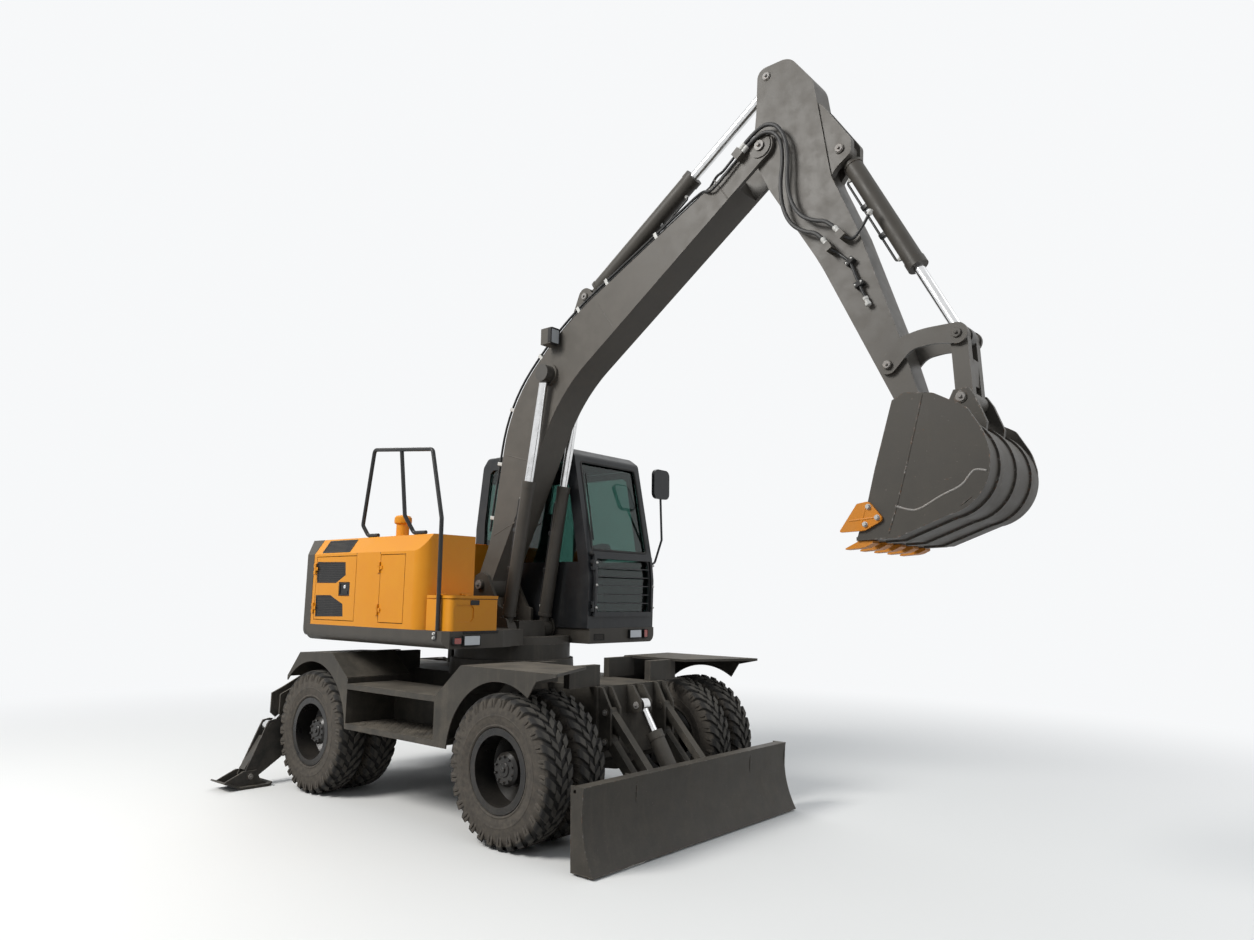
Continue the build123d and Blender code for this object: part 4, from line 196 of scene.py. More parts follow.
def build_weathering():
    """Paint that fades in patches, chips on its edges, and gathers dust."""
    group = bpy.data.node_groups.new("weathering", "ShaderNodeTree")
    for way, kind, names in (
            ("INPUT", "Color", ("Paint", "Faded", "Dust", "Bare", "Rust")),
            ("INPUT", "Float", ("Gloss Roughness", "Dust Amount", "Splash Height", "Wear Amount",
                                "Edge Width")),
            ("OUTPUT", "Color", ("Color",)),
            ("OUTPUT", "Float", ("Roughness", "Metallic", "Height"))):
        for name in names:
            group.interface.new_socket(name=name, in_out=way, socket_type="NodeSocket" + kind)
    given = group.nodes.new("NodeGroupInput").outputs
    result = group.nodes.new("NodeGroupOutput")
    place = shader(group, "TexCoord")
    work, mix, ramp = partial(worked, group), partial(mixed, group), partial(spread, group)

    def grain(scale, detail, stretch=(1.0, 1.0, 1.0), rough=0.55):
        at = shader(group, "Mapping", {"Vector": place.outputs["Object"], "Scale": stretch})
        return noise(group, at.outputs[0], scale, detail, rough)

    patches = ramp(grain(1.7, 5.0), 0.38, 0.68)
    cloud = ramp(grain(9.0, 5.0), 0.4, 0.7)
    fading = work("MULTIPLY", work("ADD", patches, cloud), 0.42, True)
    colour = mix(fading, given["Paint"], given["Faded"])

    # chips and rubbed corners
    geometry = shader(group, "NewGeometry")
    rounded = shader(group, "Bevel", {"Radius": given["Edge Width"]}, samples=4)
    turn = shader(group, "VectorMath", {0: rounded.outputs[0], 1: geometry.outputs["Normal"]},
                  operation="DOT_PRODUCT").outputs["Value"]
    edge = ramp(turn, 0.995, 0.86)
    chip = ramp(grain(34.0, 6.0, rough=0.7), 0.50, 0.62)
    rubbed = work("MULTIPLY", edge, chip)
    scratch = ramp(grain(5.0, 8.0, (1.0, 1.0, 9.0), 0.75), 0.66, 0.70)
    flecks = ramp(grain(62.0, 3.0), 0.71, 0.75)
    bare = work("ADD", rubbed, work("MULTIPLY", work("ADD", scratch, flecks), 0.5))
    bare = work("MULTIPLY", bare, given["Wear Amount"], True)
    rusty = mix(ramp(grain(48.0, 3.0), 0.42, 0.56), given["Bare"], given["Rust"])
    colour = mix(bare, colour, rusty)

    # dust lies on what faces up, and is splashed and washed down the sides
    upward = shader(group, "SeparateXYZ", {0: place.outputs["Normal"]}).outputs["Z"]
    level = shader(group, "SeparateXYZ", {0: place.outputs["Object"]}).outputs["Z"]
    settled = work("MULTIPLY", ramp(upward, 0.15, 0.95), ramp(grain(5.0, 6.0), 0.25, 0.60))
    below = work("SUBTRACT", given["Splash Height"], level)
    splash = work("MULTIPLY", ramp(below, 0.0, 0.9), ramp(grain(7.0, 8.0, rough=0.65), 0.36, 0.72))
    streaks = ramp(grain(13.0, 5.0, (1.0, 1.0, 0.07)), 0.52, 0.78, 0.0, 0.35)
    speckle = ramp(grain(90.0, 2.0), 0.35, 0.75)
    dusty = work("ADD", work("MAXIMUM", settled, splash), streaks)
    dusty = work("MULTIPLY", dusty, work("ADD", work("MULTIPLY", speckle, 0.4), 0.55))
    dusty = work("MULTIPLY", dusty, given["Dust Amount"], True)
    colour = mix(dusty, colour, given["Dust"])

    gloss = work("ADD", given["Gloss Roughness"], work("MULTIPLY", cloud, 0.12))
    gloss = work("ADD", gloss, work("MULTIPLY", dusty, 0.5), True)
    metal = work("MULTIPLY", bare, work("SUBTRACT", 1.0, dusty, True))
    metal = work("MULTIPLY", metal, 0.6)
    peel = work("MULTIPLY", grain(160.0, 2.0), 0.12)
    height = work("SUBTRACT", peel, work("MULTIPLY", bare, 0.5))
    height = work("ADD", height, work("MULTIPLY", dusty, work("MULTIPLY", speckle, 0.6)))
    for name, value in (("Color", colour), ("Roughness", gloss), ("Metallic", metal),
                        ("Height", height)):
        group.links.new(value, result.inputs[name])
    return group


weathering = build_weathering()


def relief(tree, height, strength, distance=0.002):
    return shader(tree, "Bump", {"Strength": strength, "Distance": distance, "Height": height}).outputs[0]


def surfaced(tree, inputs):
    """Ends a material's tree with its one surface."""
    shader(tree, "OutputMaterial", {"Surface": shader(tree, "BsdfPrincipled", inputs).outputs[0]})


def sprayed(name, paint, faded, gloss=0.42, dust=0.5, splash=1.2, wear=0.5, edge=0.008,
            coat=0.0, bump=0.5):
    """Sprayed steel, with its own share of dust, splashes and rubbed edges."""
    material, tree = new_material(name)
    worn = shader(tree, "Group", {
        "Paint": paint, "Faded": faded, "Dust": ROAD_DUST, "Bare": BARE_STEEL, "Rust": RUST,
        "Gloss Roughness": gloss, "Dust Amount": dust, "Splash Height": splash, "Wear Amount": wear,
        "Edge Width": edge}, node_tree=weathering).outputs
    surfaced(tree, {
        "Base Color": worn["Color"], "Roughness": worn["Roughness"], "Metallic": worn["Metallic"],
        "Normal": relief(tree, worn["Height"], bump), "Specular IOR Level": 0.25,
        "Coat Weight": coat * 0.5, "Coat Roughness": 0.18})
    return material


def dress(material, *names):
    """Gives CAD nodes a finish, through their objects' material slots."""
    for name in names:
        for slot in cad[name].material_slots:
            slot.material = material


def closed_mesh(name, bm, crisp):
    """Makes a mesh of working geometry: smooth, with its sharper edges kept crisp."""
    bmesh.ops.recalc_face_normals(bm, faces=bm.faces)
    mesh = bpy.data.meshes.new(name)
    bm.to_mesh(mesh)
    bm.free()
    mesh.shade_smooth()
    mesh.set_sharp_from_angle(angle=math.radians(crisp))
    return mesh


def add_piece(name, bm, material, body, crisp=34):
    """Makes a piece of working geometry and puts it on its body."""
    return new_piece(name, closed_mesh(name, bm, crisp), material, body)


def add_rings(bm, rings, looped=False):
    """Skins a row of rings, closed at both ends or looped; a ring of one point closes an end."""
    made = [[bm.verts.new(point) for point in ring] for ring in rings]
    for low, high in zip(made, made[1:] + made[:1] if looped else made[1:]):
        count = max(len(low), len(high))
        for i in range(count):
            j = (i + 1) % count
            corners = [low[i % len(low)], low[j % len(low)], high[j % len(high)], high[i % len(high)]]
            corners = list(dict.fromkeys(corners))
            if len(corners) > 2:
                bm.faces.new(corners)
    for end in () if looped else (made[0], made[-1]):
        if len(end) > 2:
            bm.faces.new(end)


def add_turned(bm, place, out, profile, sides, turn=0.0):
    """Adds a turned form from (radius, height) stations along an axis, with its ends closed."""
    place, out = Vector(place), Vector(out).normalized()
    profile = [(0, profile[0][1]), *profile]
    if profile[-1][0] > 0:
        profile.append((0, profile[-1][1]))
    across = out.orthogonal().normalized()
    along = out.cross(across)
    rings = []
    for radius, height in profile:
        centre = place + out * height
        rings.append([centre] if radius == 0 else [
            centre + (across * math.cos(a) + along * math.sin(a)) * radius
            for a in (turn + math.tau * i / sides for i in range(sides))])
    add_rings(bm, rings)


def add_bolt(bm, place, out, flats, turn=0.0):
    """Adds a hexagon bolt head on its washer."""
    corner, washer = flats / math.sqrt(3), flats * 0.13
    add_turned(bm, place, out, [(corner * 1.25, 0), (corner * 1.25, washer)], 16)
    top = Vector(place) + Vector(out).normalized() * washer
    add_turned(bm, top, out, [(corner, 0), (corner, flats * 0.50), (corner * 0.84, flats * 0.60)], 6, turn)


frame_paint = sprayed("frame_paint", DARK_GREY, FADED_GREY, gloss=0.50, dust=0.50, splash=1.3, wear=0.4)
dress(frame_paint, "chassis_frame", "fenders")

# raised grips pressed into the step boxes' treads, in rows that lean by turns
STEP_LEVEL = 0.653
FIRST_GRIP = (-0.63, 0.84)
GRIP_ROWS, GRIP_COLUMNS, GRIP_PITCH = 8, 23, 0.05
GRIP_LENGTH, GRIP_WIDTH = 0.034, 0.011
grips = bmesh.new()
for side in (-1, 1):
    for row in range(GRIP_ROWS):
        for column in range(GRIP_COLUMNS):
            lean = math.radians(45 if (row + column) % 2 else -45)
            middle = Vector((FIRST_GRIP[0] + GRIP_PITCH * column, side * (FIRST_GRIP[1] + GRIP_PITCH * row),
                             STEP_LEVEL - 0.0005))
            along = Vector((math.cos(lean), math.sin(lean), 0)) * GRIP_LENGTH / 2
            aside = Vector((-math.sin(lean), math.cos(lean), 0)) * GRIP_WIDTH / 2
            base = [middle + along * a + aside * b
                    for a, b in ((-1, 0), (-0.5, -1), (0.5, -1), (1, 0), (0.5, 1), (-0.5, 1))]
            crown = [middle + (point - middle) * 0.55 + Vector((0, 0, 0.0035)) for point in base]
            add_rings(grips, [base, crown])
add_piece("step_grips", grips, frame_paint, "chassis")

# The axles, drive shaft and steering knuckles: rough iron castings, painted
# with the frame, bolted under it and coated in oily dust.
cast_iron = sprayed("cast_iron", (0.030, 0.030, 0.031, 1), (0.07, 0.066, 0.060, 1), gloss=0.6,
                    dust=0.7, splash=1.4, wear=0.3, bump=0.9)
dress(cast_iron, "axles", "knuckle_right", "knuckle_left")

# The wheels: twin pressed rims on each hub, sprayed gloss black and held by a
# ring of nuts; the hub's end cover is a casting with its own ring of bolts.
AXLE_REACH = 1.245
WHEELS = [(end + "_" + hand, way * AXLE_REACH, side) for end, way in (("front", 1), ("rear", -1))
          for hand, side in (("right", -1), ("left", 1))]
AXLE_HEIGHT = 0.525
DISC_FACE_Y = 0.967
HUB_END_Y = 1.165
NUTS = 10
NUT_CIRCLE, CAP_CIRCLE = 0.147, 0.088
wheel_black = sprayed("wheel_black", (0.008, 0.008, 0.009, 1), (0.018, 0.017, 0.016, 1), gloss=0.26,
                      dust=0.16, splash=1.1, wear=0.30, coat=0.30)
dress(wheel_black, *["wheels_" + corner for corner, _, _ in WHEELS])
worn_steel = sprayed("worn_steel", (0.30, 0.29, 0.28, 1), (0.22, 0.20, 0.18, 1), gloss=0.34,
                     dust=0.35, splash=1.0, wear=0.9, bump=0.7)
for corner, axle_x, side in WHEELS:
    fixings = bmesh.new()
    hub = Vector((axle_x, 0, AXLE_HEIGHT))
    out = Vector((0, side, 0))
    for i in range(NUTS):
        turn = math.tau * (i + 0.5) / NUTS
        spoke = Vector((math.cos(turn), 0, math.sin(turn)))
        nut = hub + spoke * NUT_CIRCLE + out * DISC_FACE_Y
        add_bolt(fixings, nut, out, 0.030, turn)
        add_turned(fixings, nut + out * 0.018, out, [(0.009, 0), (0.009, 0.010), (0.0075, 0.013)], 10)
        add_bolt(fixings, hub + spoke * CAP_CIRCLE + out * HUB_END_Y, out, 0.017, turn)
    add_turned(fixings, hub + out * HUB_END_Y, out,
               [(0.050, 0), (0.050, 0.004), (0.045, 0.009), (0.018, 0.009), (0.018, 0.016),
                (0.014, 0.019)], 32)
    add_piece("wheel_fixings_" + corner, fixings, wheel_black, "wheels_" + corner)

# The tyres: eight cross-country tyres of moulded rubber, two on each hub. Deep
# bars lean back from the shoulders, and shorter blocks fill the tread's middle.
TYRE_MIDDLES = (0.792, 1.114)
TREAD_RADIUS = 0.515
BORE_RADIUS = 0.284
CARCASS_STEPS = 102
BARS = 30
CARCASS = [(-0.100, 0.292), (-0.118, 0.296), (-0.124, 0.306), (-0.1205, 0.316), (-0.1225, 0.322),
           (-0.1225, 0.330), (-0.1250, 0.336), (-0.1285, 0.360), (-0.1290, 0.368), (-0.1305, 0.371),
           (-0.1305, 0.378), (-0.1285, 0.381), (-0.1275, 0.400), (-0.1262, 0.420), (-0.124, 0.445),
           (-0.116, 0.474), (-0.101, 0.494), (-0.080, 0.502), (-0.040, 0.5065), (0.0, 0.5075)]
CARCASS += [(-across, radius) for across, radius in reversed(CARCASS[:-1])]
# a block's stations: foot and crown as (distance from the tyre's middle,
# radius), then how far it leans round the tyre and half its width
SHOULDER_BAR = [((0.058, 0.504), (0.058, 0.5250), 0.050, 0.0300),
                ((0.082, 0.501), (0.083, 0.5235), 0.030, 0.0305),
                ((0.101, 0.494), (0.106, 0.5175), 0.010, 0.0300),
                ((0.113, 0.480), (0.1235, 0.504), -0.004, 0.0290),
                ((0.118, 0.466), (0.1295, 0.489), -0.009, 0.0280)]
SIDE_RIB = [((0.117, 0.470), (0.1290, 0.492), -0.008, 0.0125),
            ((0.121, 0.456), (0.1308, 0.474), -0.012, 0.0120),
            ((0.1235, 0.442), (0.1305, 0.452), -0.015, 0.0110),
            ((0.1250, 0.428), (0.1272, 0.431), -0.017, 0.0090)]
RIB_ASIDE = 0.0165
MIDDLE_BLOCK = [((0.004, 0.5065), (0.004, 0.5245), 0.120, 0.0265),
                ((0.026, 0.506), (0.026, 0.5250), 0.100, 0.0290),
                ((0.049, 0.504), (0.049, 0.5250), 0.074, 0.0275)]


def tread_point(across, radius, swing):
    return Vector((radius * math.sin(swing), across, radius * math.cos(swing)))


def add_tread_block(bm, stations, side, swing):
    """Adds one block: a row of ribs, each from one foot over its crown to the other foot."""
    rings = []
    for foot, crown, lean, half in stations:
        foot, crown = Vector(foot), Vector(crown)
        ease = (crown - foot).normalized() * 0.004
        rings.append([tread_point(side * point.x, point.y, swing + (lean + offset) / TREAD_RADIUS)
                      for offset, point in ((-half - 0.004, foot - ease), (-half, crown - ease),
                                            (-half + 0.003, crown), (half - 0.003, crown),
                                            (half, crown - ease), (half + 0.004, foot - ease))])
    add_rings(bm, rings)


def add_tyre(bm, centre, phase):
    """Adds a tyre about the Y axis: the carcass, then its shoulder bars and middle blocks."""
    tyre = bmesh.new()
    edge = CARCASS[0][0]
    section = [(edge, BORE_RADIUS)] + CARCASS + [(-edge, BORE_RADIUS)]
    swings = [math.tau * i / CARCASS_STEPS for i in range(CARCASS_STEPS)]
    add_rings(tyre, [[tread_point(across, radius, swing) for swing in swings] for across, radius in section],
              looped=True)
    for side in (-1, 1):
        for bar in range(BARS):
            swing = math.tau * (bar + (0.5 if side > 0 else 0.0)) / BARS
            add_tread_block(tyre, SHOULDER_BAR, side, swing)
            add_tread_block(tyre, MIDDLE_BLOCK, side, swing + 0.006)
            for aside in (-RIB_ASIDE, RIB_ASIDE):
                add_tread_block(tyre, SIDE_RIB, side, swing + aside / TREAD_RADIUS)
    bmesh.ops.recalc_face_normals(tyre, faces=tyre.faces)
    tyre.transform(Matrix.Translation(centre) @ Matrix.Rotation(phase, 4, "Y"))
    copy = bpy.data.meshes.new("tyre_copy")
    tyre.to_mesh(copy)
    tyre.free()
    bm.from_mesh(copy)
    bpy.data.meshes.remove(copy)


def build_rubber():
    """Moulded rubber: dark grooves, paler worn crowns and brown dust on the sidewalls."""
    material, tree = new_material("rubber")
    place = shader(tree, "TexCoord").outputs["Object"]
    part = shader(tree, "SeparateXYZ", {0: place}).outputs
    reach = worked(tree, "SUBTRACT", worked(tree, "ABSOLUTE", part["X"]), AXLE_REACH)
    arm = shader(tree, "CombineXYZ", {"X": reach, "Y": worked(tree, "SUBTRACT", part["Z"], AXLE_HEIGHT)})
    radius = shader(tree, "VectorMath", {0: arm.outputs[0]}, operation="LENGTH").outputs["Value"]
    crown, groove = spread(tree, radius, 0.5165, 0.5215), spread(tree, radius, 0.485, 0.500)
    grain, cloud = noise(tree, place, 26.0, 6.0, 0.65), noise(tree, place, 5.0, 4.0)
    wall = mixed(tree, spread(tree, grain, 0.30, 0.68, 0.25, 0.95), (0.022, 0.020, 0.018, 1),
                 (0.088, 0.075, 0.060, 1))
    deep = mixed(tree, groove, wall, (0.014, 0.013, 0.012, 1))
    worn = worked(tree, "MULTIPLY", crown, spread(tree, cloud, 0.3, 0.7, 0.55, 1.0))
    surfaced(tree, {"Base Color": mixed(tree, worn, deep, (0.078, 0.072, 0.062, 1)), "Roughness": 0.82,
                    "Normal": relief(tree, grain, 0.5)})
    return material


rubber = build_rubber()
dress(rubber, *["tyres_" + corner for corner, _, _ in WHEELS])
for corner, axle_x, side in WHEELS:
    pair = bmesh.new()
    for place, middle in enumerate(TYRE_MIDDLES):
        add_tyre(pair, Vector((axle_x, side * middle, AXLE_HEIGHT)), 0.07 * place + 0.03 * axle_x)
    tyres = add_piece("tyre_pair_" + corner, pair, rubber, "wheels_" + corner, crisp=28)
    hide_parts("tyres_" + corner)

# The blade: a bowed sheet with end plates, pushed down by two arms, two links
# and one cylinder. Its pins are plain steel, kept in by bolted end plates.
boom_paint = sprayed("boom_paint", (0.090, 0.083, 0.073, 1), (0.120, 0.110, 0.097, 1), gloss=0.40,
                     dust=0.12, splash=0.9, wear=0.30)
blade_paint = sprayed("blade_paint", (0.042, 0.038, 0.032, 1), (0.062, 0.056, 0.048, 1), gloss=0.42,
                      dust=0.20, splash=0.9, wear=0.6, edge=0.012)
dress(blade_paint, "blade")
dress(frame_paint, "blade_arms", "blade_links")


def surface_of(node, start, way):
    """Finds where a line from outside first meets a CAD node."""
    there = cad[node].matrix_world.inverted()
    way = Vector(way).normalized()
    hit, place, _, _ = cad[node].ray_cast(there @ Vector(start), there.to_3x3() @ way)
    return cad[node].matrix_world @ place if hit else None


def add_pin_cap(bm, node, start, way, radius):
    """Bolts a keeper disc on a pin's end, where the CAD pin ends."""
    end = surface_of(node, start, way)
    if end is None:
        return
    out = -Vector(way).normalized()
    add_turned(bm, end - out * 0.0005, out, [(radius, 0), (radius, 0.004), (radius - 0.002, 0.006)], 28)
    add_bolt(bm, end + out * 0.005, out, radius * 0.62)


blade_pins, frame_pins = bmesh.new(), bmesh.new()
LUG_Y = 0.330
for side in (-1, 1):
    for way in (-1, 1):
        for pins, node, x, z in ((blade_pins, "blade", 1.900, 0.235), (blade_pins, "blade", 1.900, 0.450),
                                 (frame_pins, "chassis_frame", 1.500, 0.655),
                                 (frame_pins, "chassis_frame", 1.500, 0.870)):
            add_pin_cap(pins, node, (x, side * LUG_Y + way * 0.30, z), (0, -way, 0), 0.022)
    add_pin_cap(blade_pins, "blade", (1.890, side * 0.22, 0.330), (0, -side, 0), 0.028)
    add_pin_cap(frame_pins, "chassis_frame", (1.530, side * 0.22, 0.900), (0, -side, 0), 0.028)
add_piece("blade_pin_keepers", blade_pins, worn_steel, "blade")
add_piece("frame_pin_keepers", frame_pins, worn_steel, "chassis")

# The stabilisers: a hinged leg with a swivelling foot at each rear corner,
# pushed down by its own cylinder and painted like the frame.
leg_paint = sprayed("leg_paint", (0.040, 0.039, 0.037, 1), (0.070, 0.067, 0.062, 1), gloss=0.45,
                    dust=0.45, splash=1.0, wear=0.6, edge=0.010)
dress(leg_paint, "stabiliser_leg_right", "stabiliser_leg_left", "stabiliser_foot_right",
      "stabiliser_foot_left")
CARRIER_X = -1.880
for word, side in (("right", -1), ("left", 1)):
    leg_pins, carrier_pins = bmesh.new(), bmesh.new()
    for way in (-1, 1):
        start = CARRIER_X + way * 0.40
        add_pin_cap(leg_pins, "stabiliser_leg_" + word, (start, side * 1.465, 0.100), (-way, 0, 0), 0.024)
        for y, z in ((0.890, 0.445), (0.660, 1.000)):
            add_pin_cap(carrier_pins, "chassis_frame", (start, side * y, z), (-way, 0, 0), 0.026)
    add_piece("leg_pin_keepers_" + word, leg_pins, worn_steel, "stabiliser_leg_" + word)
    add_piece("carrier_pin_keepers_" + word, carrier_pins, worn_steel, "chassis")

# The revolving platform and counterweight: welded plate and a heavy casting,
# both sprayed dark grey, with the deck walked on and dusty.
platform_paint = sprayed("platform_paint", (0.058, 0.053, 0.046, 1), (0.082, 0.075, 0.065, 1),
                         gloss=0.42, dust=0.22, splash=1.5, wear=0.4)
dress(platform_paint, "revolving_frame", "counterweight")
engine_iron = sprayed("engine_iron", (0.11, 0.11, 0.11, 1), (0.08, 0.078, 0.074, 1), gloss=0.55,
                      dust=0.4, splash=0.0, wear=0.2)
dress(engine_iron, "engine_block")


def ring_at(at, outline, depth):
    return [at(u, v, depth) for u, v in outline]


def add_slab(bm, outline, depths, ease, at):
    """Adds a plate with an outline in its own plane, and an eased edge on its outer face."""
    low, high = depths
    add_rings(bm, [ring_at(at, outline, low), ring_at(at, outline, high - ease),
                   ring_at(at, shrunk(outline, ease), high)])


def shrunk(outline, by):
    """Gives an outline moved inward by a distance."""
    area = sum(a[0] * b[1] - b[0] * a[1] for a, b in zip(outline, outline[1:] + outline[:1]))
    turn = 1 if area > 0 else -1
    moved = []
    for i, here in enumerate(outline):
        before, after = Vector(outline[i - 1]), Vector(outline[(i + 1) % len(outline)])
        here = Vector(here)
        first, second = (here - before).normalized(), (after - here).normalized()
        inward = Vector((-first.y, first.x)) * turn, Vector((-second.y, second.x)) * turn
        reach = by / max(0.35, 1 + inward[0].dot(inward[1]))
        moved.append(tuple(here + (inward[0] + inward[1]) * reach))
    return moved


def eased_corner(before, here, after, reach, steps):
    """Gives the points of a bend that leaves one line and joins the next at a reach from their corner."""
    back, on = before - here, after - here
    reach = min(reach, back.length * 0.48, on.length * 0.48)
    start, end = here + back.normalized() * reach, here + on.normalized() * reach
    return [start * (1 - t) ** 2 + here * 2 * t * (1 - t) + end * t * t
            for t in (k / steps for k in range(steps + 1))]


def rounded(corners):
    """Gives an outline whose corners, (u, v, radius), are rounded."""
    outline = []
    for i, (u, v, radius) in enumerate(corners):
        here = Vector((u, v))
        before, after = Vector(corners[i - 1][:2]), Vector(corners[(i + 1) % len(corners)][:2])
        reach = radius / math.tan((before - here).angle(after - here) / 2)
        outline += [tuple(point) for point in eased_corner(before, here, after, reach, 5)]
    return outline


def box_outline(u, v, radius):
    return rounded([(u[0], v[0], radius), (u[1], v[0], radius), (u[1], v[1], radius), (u[0], v[1], radius)])


ALONG, ACROSS, UP = Vector((1, 0, 0)), Vector((0, 1, 0)), Vector((0, 0, 1))


def plane_at(place, across, up, out):
    """A drawing plane, which gives the point at a distance across, up and out of it."""
    return lambda u, v, w: Vector(place) + across * u + up * v + out * w


def ahead_of(x):
    """A plane that faces forward at this station."""
    return plane_at((x, 0, 0), ACROSS, UP, ALONG)


# a toothed rubber strip along the tool box's foot, screwed to the deck's edge
tooth_strip = bmesh.new()
STRIP_FOOT, STRIP_TOP = 1.4385, 1.4545
STRIP_ENDS = (-1.052, -0.695)
TOOTH_DEPTH, TOOTH_STEP = 0.006, 0.0255
teeth_line = [(STRIP_ENDS[0], STRIP_FOOT)]
for i in range(14):
    start = STRIP_ENDS[0] + i * TOOTH_STEP
    teeth_line += [(start + 0.004, STRIP_FOOT), (start + 0.0065, STRIP_FOOT - TOOTH_DEPTH),
                   (start + 0.019, STRIP_FOOT - TOOTH_DEPTH), (start + 0.0215, STRIP_FOOT)]
teeth_line += [(STRIP_ENDS[1], STRIP_FOOT), (STRIP_ENDS[1], STRIP_TOP), (STRIP_ENDS[0], STRIP_TOP)]
add_rings(tooth_strip, [ring_at(ahead_of(x), teeth_line, 0) for x in (0.5895, 0.5955)])
black_rubber = sprayed("black_rubber", (0.014, 0.014, 0.015, 1), (0.030, 0.029, 0.028, 1), gloss=0.55,
                       dust=0.25, splash=1.5, wear=0.0)
add_piece("deck_edge_strip", tooth_strip, black_rubber, "upper")

# The hood, its doors and the tool box: folded steel sheet in orange enamel, on
# hinges, with black moulded grilles and a black latch pressed into the door.
ORANGE = (0.70, 0.265, 0.010, 1)
FADED_ORANGE = (0.72, 0.300, 0.020, 1)
orange_paint = sprayed("orange_paint", ORANGE, FADED_ORANGE, gloss=0.34, dust=0.03, splash=1.2,
                       wear=0.22, coat=0.2)
dress(orange_paint, "hood", "hood_door_rear", "hood_door_front", "hood_door_left", "hood_lid",
      "tool_box", "tool_box_lid")
# black moulding; on the grilles' and louvres' back plates and on the hood's seams this black is painted
# shade
grille_black_and_shade = sprayed("grille_black_and_shade", (0.012, 0.013, 0.015, 1), (0.024, 0.024, 0.025, 1), gloss=0.38,
                       dust=0.22, splash=1.2, wear=0.0)
SIDE_Y = -1.220
GRILLE_FLOOR = -0.006
GRILLES = [[(-1.336, 1.994), (-1.316, 2.013), (-0.857, 2.005), (-0.844, 1.892), (-0.992, 1.822),
            (-1.312, 1.822)],
           [(-1.318, 1.714), (-1.078, 1.716), (-0.866, 1.640), (-0.853, 1.533), (-1.307, 1.522)]]
side_plane = plane_at((0, SIDE_Y, 0), ALONG, UP, -ACROSS)


def span_across(outline, level):
    """Finds where an outline's left and right sides pass a height."""
    crossings = []
    for a, b in zip(outline, outline[1:] + outline[:1]):
        if (a[1] - level) * (b[1] - level) < 0:
            crossings.append(a[0] + (b[0] - a[0]) * (level - a[1]) / (b[1] - a[1]))
    return min(crossings), max(crossings)


def add_frame(bm, outline, width, depths, ease, at):
    """Adds a flat frame that follows an outline on its inner side."""
    inner = shrunk(outline, width)
    low, high = depths
    add_rings(bm, [ring_at(at, outline, low), ring_at(at, outline, high - ease),
                   ring_at(at, shrunk(outline, ease), high),
                   ring_at(at, shrunk(outline, width - ease), high),
                   ring_at(at, inner, high - ease), ring_at(at, inner, low)], looped=True)


def add_slat(bm, span, level, section, at):
    """Adds a slat from one side to the other; its section's points are (rise, depth)."""
    add_rings(bm, [[at(u, level + rise, depth) for rise, depth in section] for u in span])


SLAT_PITCH = 0.0135
GRILLE_SLAT = [(-0.0045, GRILLE_FLOOR - 0.001), (-0.0040, -0.0012), (-0.0015, -0.0010),
               (0.0035, GRILLE_FLOOR - 0.001)]
grille = bmesh.new()
for outline in GRILLES:
    add_frame(grille, shrunk(outline, 0.0015), 0.010, (GRILLE_FLOOR - 0.001, -0.0008), 0.0015, side_plane)
    # a black plate behind the slats closes the door's openings: painted shade where the dark inside of the
    # hood would show between the slats
    add_slab(grille, shrunk(outline, 0.003), (GRILLE_FLOOR - 0.001, GRILLE_FLOOR + 0.0012), 0.0005,
             side_plane)
    low = min(v for _, v in outline) + 0.016
    high = max(v for _, v in outline) - 0.014
    rows = int((high - low) / SLAT_PITCH)
    for row in range(rows):
        level = low + (high - low) * row / (rows - 1)
        left, right = span_across(outline, level)
        add_slat(grille, (left + 0.010, right - 0.010), level, GRILLE_SLAT, side_plane)
add_piece("door_grilles", grille, grille_black_and_shade, "hood_door_rear", crisp=20)

# the black louvred panel on the hood's sloping shoulder, over its four slots
slope_plane = plane_at((0, SIDE_Y, 2.080), ALONG, Vector((0, 0.095, 0.140)).normalized(),
                       Vector((0, -0.140, 0.095)).normalized())
louvres = bmesh.new()
add_frame(louvres, box_outline((-1.262, -0.808), (0.012, 0.152), 0.012), 0.014, (-0.001, 0.0045), 0.002,
          slope_plane)
# a black plate under the slats closes the four slots: painted shade where the hood's dark inside would show
add_slab(louvres, box_outline((-1.256, -0.814), (0.018, 0.146), 0.008), (-0.001, 0.0012), 0.0005,
         slope_plane)
for row in range(8):
    add_slat(louvres, (-1.250, -0.820), 0.0280 + 0.0145 * row,
             [(-0.002, -0.001), (-0.001, 0.0035), (0.0015, 0.0040), (0.0065, -0.001)], slope_plane)
add_piece("shoulder_louvres", louvres, grille_black_and_shade, "upper", crisp=20)

# the latch: a black dished plate in the door's recess, with a chromed lock
latch = bmesh.new()
recess = box_outline((-0.940, -0.774), (1.713, 1.827), 0.012)
add_slab(latch, recess, (-0.0145, -0.009), 0.002, side_plane)
add_frame(latch, recess, 0.012, (-0.010, -0.0015), 0.002, side_plane)
add_slab(latch, box_outline((-0.905, -0.809), (1.725, 1.757), 0.008), (-0.010, -0.0035), 0.003, side_plane)
add_piece("door_latch", latch, grille_black_and_shade, "hood_door_rear")

ROD_EYES = [((0.549, 0, 3.695), 0.092), ((2.783, 0, 5.697), 0.085), ((4.140, 0, 3.390), 0.080),
            ((1.890, 0, 0.330), 0.070)]


